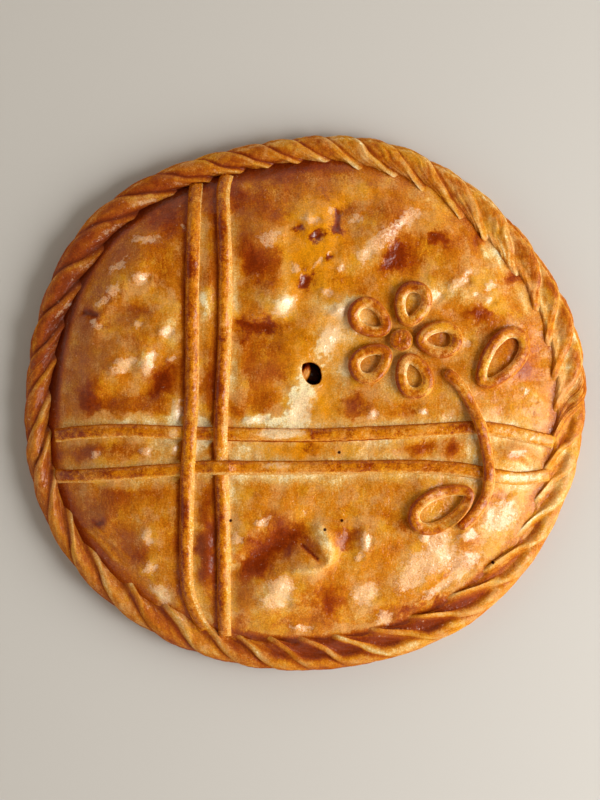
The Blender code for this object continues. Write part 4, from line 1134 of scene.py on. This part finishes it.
def make_sprig(settings):
    """The sprig: looped petals and leaves, a stem and the flower's heart."""
    radius = settings.roll_radius / MM
    material = dough_material("crust_roll", settings)
    lines = {}
    for petal in range(PETALS):
        heading = FLOWER_TURN + petal * 360.0 / PETALS
        out = math.radians(heading)
        middle = (
            FLOWER_AT[0] + PETAL_FROM_HEART * math.cos(out),
            FLOWER_AT[1] + PETAL_FROM_HEART * math.sin(out),
        )
        lines[f"petal_{petal + 1}"] = loop_line(middle, heading, PETAL_LENGTH, PETAL_WIDTH)
    lines["stem"] = smooth_line(STEM_ROUTE, LINE_STEP)
    for name, (middle, heading) in LEAVES.items():
        lines[name] = loop_line(middle, heading, LEAF_LENGTH, LEAF_WIDTH)
    for seed, (node, (line_x, line_y)) in enumerate(lines.items()):
        closed = node != "stem"
        band = Laid(
            line_x, line_y, closed=closed, half_width=radius,
            height=2.0 * radius - 2.0 * CROSSING_PRESS, sink=ROLL_SINK, stiff=ROLL_STIFFNESS,
        )

        def end_share(along):
            """1 along the roll, and rounded off to nearly 0 at the ends of an open one."""
            if closed:
                return np.ones_like(along)
            near = np.minimum(along, (len(line_x) - 1) * band.step - along)
            near = np.clip(near / STEM_END, 0.0, 1.0)
            return np.sqrt(near * (2.0 - near)) * 0.98 + 0.02

        def section(turn, along):
            """How far across and up each point of the roll lies."""
            wide, tall = rounded(turn, ROLL_SQUARENESS)
            total = len(line_x) * band.step
            lap = np.cos(along / total * math.tau) if closed else along * 0
            uneven = 1.0 + 0.06 * waves(np.abs(along - total / 2), turn * 0 + seed * 9, 8.0, 91)
            end = end_share(along)
            across = radius * wide * uneven * end * (1.06 + 0.03 * lap)
            return across, radius * 0.92 * (tall * uneven * end + 0.9)

        piece, turn, along, across, up = lay_rod("dough_" + node, band, section)
        top = smooth_step(0.1, 0.75, np.sin(turn) + 0.12 * waves(along, turn * 3, 3.0, 92))
        station = np.round(along / band.step).astype(int)
        lit = (band.side_x * LIT_X + band.side_y * LIT_Y)[station] * np.cos(turn)
        shaded = smooth_step(-0.15, -0.75, lit)
        inward = across / radius if closed else np.zeros_like(across)
        bake = 0.24 + 0.26 * top + 0.18 * waves(along, turn * 2, 8.0, 93 + seed) * top
        bake += 0.16 * waves(along, across, 2.6, 94) * top
        # darker on the side turned from the light, paler on the lit side: painted shade and light
        bake += 0.20 * shaded - 0.12 * smooth_step(0.1, 0.8, lit)
        bake += 0.14 * smooth_step(-0.2, -0.8, inward) - 0.16 * smooth_step(0.2, 0.8, inward)
        # darker at the foot, a caramelised line, and more so on the shaded side: painted shade
        bake += 0.30 * smooth_step(1.3, 0.5, up) * (0.4 + 0.6 * shaded)
        paint(piece, bake=np.minimum(bake, 0.80))
        finish_piece(piece, material, [node])
    make_heart(material)


def make_heart(material):
    """The flattened ball in the middle of the flower."""
    bm = bmesh.new()
    bmesh.ops.create_icosphere(bm, subdivisions=6, radius=1.0)
    heart = new_piece("dough_flower_heart", bm)
    x, y, z = points_of(heart)
    at_x, at_y = FLOWER_AT
    ground = float(lid_height(np.array([at_x]), np.array([at_y]))[0])
    wide = HEART_RADIUS * (1.0 + 0.04 * waves(x * 2, y * 2, 1.0, 95))
    dent = 0.5 * np.exp(-((x**2 + y**2) / 0.12))
    up = HEART_HEIGHT / 2 * z * (1.15 - dent * (z > 0))
    up += 0.2 * waves(x * 4, y * 4, 1.0, 96) * (z > 0)
    move_points(heart, at_x + x * wide, at_y + y * wide, ground + HEART_HEIGHT / 2 - 0.2 + up)
    paint(heart, bake=0.22 + 0.36 * smooth_step(0.0, 0.6, z) + 0.06 * waves(x * 3, y * 3, 1.0, 97))
    finish_piece(heart, material, ["flower_heart"])


# ---- Materials


def new_material(name):
    """A material, its node tree and the inputs of its shader."""
    made = bpy.data.materials.new(name)
    made.use_nodes = True
    return made, made.node_tree, made.node_tree.nodes["Principled BSDF"].inputs


def put(tree, kind, values=None, **settings):
    """Adds a node, sets its properties, and gives its sockets values or links."""
    made = tree.nodes.new(kind)
    for name, value in settings.items():
        setattr(made, name, value)
    for socket, value in (values or {}).items():
        if isinstance(value, bpy.types.NodeSocket):
            tree.links.new(value, made.inputs[socket])
        else:
            made.inputs[socket].default_value = value
    return made


def worked_out(tree, operation, *values):
    """What a Math node makes of the values."""
    return put(tree, "ShaderNodeMath", dict(enumerate(values)), operation=operation).outputs[0]


def sum_of(tree, first, second):
    return worked_out(tree, "ADD", first, second)


def product_of(tree, first, second):
    return worked_out(tree, "MULTIPLY", first, second)


def ranged(tree, value, low, high, at_low, at_high, **settings):
    """Goes from one number to another while the value goes from low to high."""
    limits = {0: value, 1: low, 2: high, 3: at_low, 4: at_high}
    return put(tree, "ShaderNodeMapRange", limits, **settings).outputs[0]


def smooth_range(tree, value, low, high):
    """The same from 0 to 1, with a smooth start and end."""
    return ranged(tree, value, low, high, 0.0, 1.0, interpolation_type="SMOOTHSTEP")


def mixed(tree, factor, below, above):
    """One colour laid over another, as far as the factor says."""
    made = put(tree, "ShaderNodeMix", {0: factor, 6: below, 7: above}, data_type="RGBA")
    return made.outputs[2]


def texture_noise(tree, place, size, detail, roughness=0.6):
    """Noise whose grains are about this many millimetres."""
    made = put(
        tree, "ShaderNodeTexNoise",
        {"Vector": place, "Scale": 1.0 / (size * MM), "Detail": detail, "Roughness": roughness},
    )
    return made.outputs["Fac"]


def swing(tree, place, size, detail, roughness=0.6):
    """The same noise, centred on nought."""
    return sum_of(tree, texture_noise(tree, place, size, detail, roughness), -0.5)


def object_place(tree):
    """Where each point is in its object."""
    return tree.nodes.new("ShaderNodeTexCoord").outputs["Object"]


def normal_from(tree, height, strength, distance, below=None):
    """A bump of this many millimetres, on top of another one."""
    made = put(
        tree, "ShaderNodeBump", {"Height": height, "Strength": strength, "Distance": distance * MM}
    )
    if below is not None:
        tree.links.new(below, made.inputs["Normal"])
    return made.outputs["Normal"]


def dough_group(settings):
    """The look of baked dough, from how far each place is baked, oiled and charred, with the
    painted shade, reflection and sheen laid in with these.
    """
    known = bpy.data.node_groups.get("baked_dough")
    if known is not None:
        return known
    tree = bpy.data.node_groups.new("baked_dough", "ShaderNodeTree")
    for name in (*DOUGH_LAYERS, "speckle"):
        tree.interface.new_socket(
            name.capitalize(), in_out="INPUT", socket_type="NodeSocketFloat"
        )
    tree.interface.new_socket("Colour", in_out="OUTPUT", socket_type="NodeSocketColor")
    for name in ("Roughness", "Glaze", "Height"):
        tree.interface.new_socket(name, in_out="OUTPUT", socket_type="NodeSocketFloat")
    given = tree.nodes.new("NodeGroupInput").outputs
    place = object_place(tree)

    # the bake, made uneven by clouds, mottling, brush strokes and specks
    cloud = texture_noise(tree, place, 13.0, 6.0, 0.66)
    mottle = texture_noise(tree, place, 3.0, 6.0, 0.72)
    stroke = put(
        tree, "ShaderNodeMapping",
        {"Vector": place, "Rotation": (0.0, 0.0, math.radians(50.0)), "Scale": (1.0, 0.22, 1.0)},
    ).outputs[0]
    brushed = texture_noise(tree, stroke, 1.3, 2.0)
    speck = texture_noise(tree, place, 0.9, 2.0)
    total = given["Bake"]
    for noise, strength in ((cloud, 0.22), (mottle, 0.25), (brushed, 0.26)):
        total = sum_of(tree, total, product_of(tree, sum_of(tree, noise, -0.5), strength))
    fleck = product_of(tree, sum_of(tree, speck, -0.5), given["Speckle"])
    total = sum_of(tree, total, product_of(tree, fleck, 0.42))
    ramp = put(tree, "ShaderNodeValToRGB", {0: total})
    stops = (
        (0.0, MILKY_STOP), (0.16, settings.pale), (0.29, settings.ochre), (0.42, settings.golden),
        (0.58, settings.amber), (0.78, settings.russet), (1.0, settings.umber),
    )
    steps = ramp.color_ramp.elements
    for index, (at, colour) in enumerate(stops):
        step = steps[index] if index < 2 else steps.new(at)
        step.position = at
        step.color = (*colour, 1.0)
    colour = ramp.outputs["Color"]

    # duller and yellower patches where it is pale, a dull tint with painted reflection, and oil
    # that soaked in
    light_part = product_of(
        tree, smooth_range(tree, total, 0.60, 0.35), smooth_range(tree, total, 0.0, 0.20)
    )
    for size, low, high, strength, shade in (
        (10.0, 0.47, 0.62, 0.42, settings.tan), (15.0, 0.50, 0.64, 0.45, settings.honey),
    ):
        patch = smooth_range(tree, texture_noise(tree, place, size, 3.0), low, high)
        patch = product_of(tree, product_of(tree, patch, strength), light_part)
        colour = mixed(tree, patch, colour, (*shade, 1.0))
    colour = mixed(tree, product_of(tree, given["Bloom"], 0.56), colour, (*settings.bloom, 1.0))
    soaked = product_of(tree, given["Oil"], smooth_range(tree, total, 0.80, 0.50))
    colour = mixed(tree, product_of(tree, soaked, 0.80), colour, (*settings.oil, 1.0))

    # where the egg wash shines: more glaze, and a cream tint that is a painted highlight, with torn
    # edges and fine seams
    torn = product_of(tree, swing(tree, place, 2.6, 3.0, 0.7), 2.4)
    sheen = smooth_range(tree, sum_of(tree, torn, given["Gloss"]), 0.30, 0.75)
    seam = worked_out(tree, "ABSOLUTE", swing(tree, place, 2.2, 1.0))
    sheen = product_of(tree, sheen, smooth_range(tree, seam, 0.006, 0.03))
    colour = mixed(tree, product_of(tree, sheen, 0.52), colour, (*settings.cream, 1.0))

    # dark pores in browned dough, and flour dust all over
    pore = ranged(tree, texture_noise(tree, place, 0.55, 1.0), 0.66, 0.74, 0.0, 0.55)
    pore = product_of(tree, pore, smooth_range(tree, total, 0.30, 0.60))
    colour = mixed(tree, product_of(tree, pore, given["Speckle"]), colour, PORE_COLOUR)
    dust = sum_of(tree, product_of(tree, swing(tree, place, 0.8, 2.0), 0.95), 1.0)
    colour = put(
        tree, "ShaderNodeVectorMath", {0: colour, "Scale": dust}, operation="SCALE"
    ).outputs[0]

    # scorch, with painted shade inside the vent, in the rope's creases and in the pinholes
    scorch_and_shade = given["Char"]
    seen_from_above = put(
        tree, "ShaderNodeVectorMath", {0: place, 1: (1.0, 1.0, 0.0)}, operation="MULTIPLY"
    ).outputs[0]
    for at_x, at_y in PINHOLES:
        gap = put(
            tree, "ShaderNodeVectorMath", {0: seen_from_above, 1: (at_x * MM, at_y * MM, 0.0)},
            operation="DISTANCE",
        ).outputs["Value"]
        inside, outside = PINHOLE_RADIUS * MM, (PINHOLE_RADIUS + PINHOLE_EDGE) * MM
        hole = ranged(tree, gap, inside, outside, 1.0, 0.0)
        scorch_and_shade = worked_out(tree, "MAXIMUM", scorch_and_shade, hole)
    colour = mixed(tree, scorch_and_shade, colour, SCORCH_AND_SHADE_COLOUR)

    glaze = sum_of(tree, ranged(tree, cloud, 0.3, 0.62, 0.08, 0.56), given["Oil"])
    grain = product_of(tree, texture_noise(tree, place, 1.5, 4.0, 0.7), 0.7)
    put(
        tree, "NodeGroupOutput",
        {
            "Colour": colour,
            "Roughness": ranged(tree, mottle, 0.3, 0.7, 0.40, 0.58),
            "Glaze": sum_of(tree, glaze, sheen),
            "Height": sum_of(tree, grain, product_of(tree, speck, 0.3)),
        },
    )
    return tree


def strand_streaks(tree):
    """Fine wrinkles along the rope's strands, centred on nought."""
    strand, turn, combed = (
        put(tree, "ShaderNodeAttribute", attribute_name=layer).outputs["Fac"]
        for layer in ("strand", "turn", "combed")
    )
    lengthwise = put(
        tree, "ShaderNodeCombineXYZ",
        {0: product_of(tree, strand, 17.0), 1: product_of(tree, turn, 1.8), 2: strand},
    ).outputs[0]
    noise = put(tree, "ShaderNodeTexNoise", {"Vector": lengthwise, "Scale": 1.0, "Detail": 2.0})
    return product_of(tree, sum_of(tree, noise.outputs["Fac"], -0.5), combed)


def dough_material(name, settings):
    """Baked dough for one kind of piece, reading what its points were painted with."""
    made, tree, shader = new_material(name)
    speckle, more_glaze = DOUGHS[name]
    group = put(tree, "ShaderNodeGroup", node_tree=dough_group(settings))
    group.inputs["Speckle"].default_value = speckle
    wrinkles = None
    for layer in DOUGH_LAYERS:
        painted = put(tree, "ShaderNodeAttribute", attribute_name=layer).outputs["Fac"]
        if layer == "bake" and name == "crust_rim":
            streaks = strand_streaks(tree)
            wrinkles = normal_from(tree, streaks, 1.0, 1.5)
            painted = sum_of(tree, painted, product_of(tree, streaks, -1.5))
        tree.links.new(painted, group.inputs[layer.capitalize()])
    glaze = sum_of(tree, group.outputs["Glaze"], more_glaze)
    grained = normal_from(tree, group.outputs["Height"], 0.8, 0.8, wrinkles)

    # the glaze has a finer crackle of its own
    place = object_place(tree)
    crackle = worked_out(tree, "ABSOLUTE", swing(tree, place, 3.2, 2.0))
    fine = product_of(tree, texture_noise(tree, place, 1.5, 4.0, 0.7), 0.10)
    crackled = normal_from(tree, sum_of(tree, crackle, fine), 0.7, 0.9, wrinkles)
    for output, socket in (
        (group.outputs["Colour"], "Base Color"), (group.outputs["Roughness"], "Roughness"),
        (product_of(tree, glaze, settings.wash), "Coat Weight"), (grained, "Normal"),
        (crackled, "Coat Normal"),
    ):
        tree.links.new(output, shader[socket])
    shader["Coat Roughness"].default_value = 0.11
    shader["Coat IOR"].default_value = 1.50
    shader["Specular IOR Level"].default_value = 0.0
    return made


def filling_material():
    """Dark, wet filling."""
    made, tree, shader = new_material("filling")
    noise = texture_noise(tree, object_place(tree), 1.6, 4.0)
    tree.links.new(mixed(tree, noise, FILLING_DARK, FILLING_LIGHT), shader["Base Color"])
    shader["Roughness"].default_value = 0.28
    return made


# ---- Stage


def make_floor(settings):
    """A plain pale floor."""
    bm = bmesh.new()
    bmesh.ops.create_grid(bm, x_segments=1, y_segments=1, size=FLOOR_REACH)
    floor = new_piece("floor", bm)
    material, _, shader = new_material("floor")
    shader["Base Color"].default_value = (*settings.floor, 1.0)
    shader["Roughness"].default_value = 0.9
    shader["Specular IOR Level"].default_value = 0.1
    floor.data.materials.append(material)


def make_lamps(settings):
    """A large soft light and a smaller, brighter one, both from the right."""
    for (name, size, lean), power in zip(LAMPS, (settings.sky_power, settings.window_power)):
        light = bpy.data.lights.new(name, "AREA")
        light.shape = "DISK"
        light.size = size
        light.energy = power
        light.color = LAMP_COLOUR
        lamp = add_object(name, light)
        flat, up = math.sin(math.radians(lean)), math.cos(math.radians(lean))
        lamp.location = LAMP_DISTANCE * Vector((flat * LIT_X, flat * LIT_Y, up))
        lamp.rotation_euler = (-Vector(lamp.location)).to_track_quat("-Z", "Y").to_euler()


def make_room():
    """Soft, warm light from all round, brighter from the sides than from above."""
    world = bpy.data.worlds.new("studio")
    world.use_nodes = True
    tree = world.node_tree
    heading = tree.nodes.new("ShaderNodeTexCoord").outputs["Generated"]
    height = put(tree, "ShaderNodeSeparateXYZ", {0: heading}).outputs["Z"]
    backdrop = tree.nodes["Background"].inputs
    backdrop["Color"].default_value = ROOM_COLOUR
    tree.links.new(ranged(tree, height, 0.40, 0.88, 1.10, 0.02), backdrop["Strength"])
    bpy.context.scene.world = world
    bpy.context.scene.view_settings.view_transform = "Standard"


def make_camera():
    """The camera, straight above the pie, as in the photograph."""
    lens = bpy.data.cameras.new("camera")
    lens.lens = CAMERA_LENS
    lens.sensor_width = CAMERA_SENSOR
    camera = add_object("camera", lens)
    camera.location = [value * MM for value in CAMERA_AT]
    bpy.context.scene.camera = camera


# ---- Operators, panel and registration


class EMPANADA_OT_lid(bpy.types.Operator):
    """Builds the lid with its vent"""

    bl_idname = "empanada.lid"
    bl_label = "Build lid"

    def execute(self, context):
        make_lid(context.scene.empanada)
        return {"FINISHED"}


class EMPANADA_OT_rim(bpy.types.Operator):
    """Builds the twisted rope edge"""

    bl_idname = "empanada.rim"
    bl_label = "Build rope edge"

    def execute(self, context):
        make_rim(context.scene.empanada)
        return {"FINISHED"}


class EMPANADA_OT_filling(bpy.types.Operator):
    """Builds what shows of the filling in the vent"""

    bl_idname = "empanada.filling"
    bl_label = "Build filling"

    def execute(self, context):
        make_filling()
        return {"FINISHED"}


class EMPANADA_OT_strips(bpy.types.Operator):
    """Lays the four strips on the lid"""

    bl_idname = "empanada.strips"
    bl_label = "Lay strips"

    def execute(self, context):
        make_strips(context.scene.empanada)
        return {"FINISHED"}


class EMPANADA_OT_sprig(bpy.types.Operator):
    """Lays the rolled-pastry sprig on the lid and the strips"""

    bl_idname = "empanada.sprig"
    bl_label = "Lay sprig"

    def execute(self, context):
        make_sprig(context.scene.empanada)
        return {"FINISHED"}


class EMPANADA_OT_stage(bpy.types.Operator):
    """Adds the floor, the lights and the camera"""

    bl_idname = "empanada.stage"
    bl_label = "Set stage"

    def execute(self, context):
        make_floor(context.scene.empanada)
        make_lamps(context.scene.empanada)
        make_room()
        make_camera()
        return {"FINISHED"}


OPERATORS = (
    EMPANADA_OT_lid, EMPANADA_OT_rim, EMPANADA_OT_filling, EMPANADA_OT_strips, EMPANADA_OT_sprig,
    EMPANADA_OT_stage,
)


class EMPANADA_PT_panel(bpy.types.Panel):
    """Lists the empanada's operators and settings."""

    bl_idname = "EMPANADA_PT_panel"
    bl_label = "Empanada"
    bl_space_type = "VIEW_3D"
    bl_region_type = "UI"
    bl_category = "Empanada"

    def draw(self, context):
        for operator in OPERATORS:
            self.layout.operator(operator.bl_idname)
        for name in EmpanadaSettings.__annotations__:
            self.layout.prop(context.scene.empanada, name)


CLASSES = (EmpanadaSettings, *OPERATORS, EMPANADA_PT_panel)


def register():
    for item in CLASSES:
        bpy.utils.register_class(item)
    bpy.types.Scene.empanada = PointerProperty(type=EmpanadaSettings)


def unregister():
    del bpy.types.Scene.empanada
    for item in reversed(CLASSES):
        bpy.utils.unregister_class(item)


def main():
    register()
    bpy.ops.empanada.lid()
    bpy.ops.empanada.rim()
    bpy.ops.empanada.filling()
    bpy.ops.empanada.strips()
    bpy.ops.empanada.sprig()
    bpy.ops.empanada.stage()


if __name__ == "__main__":
    main()
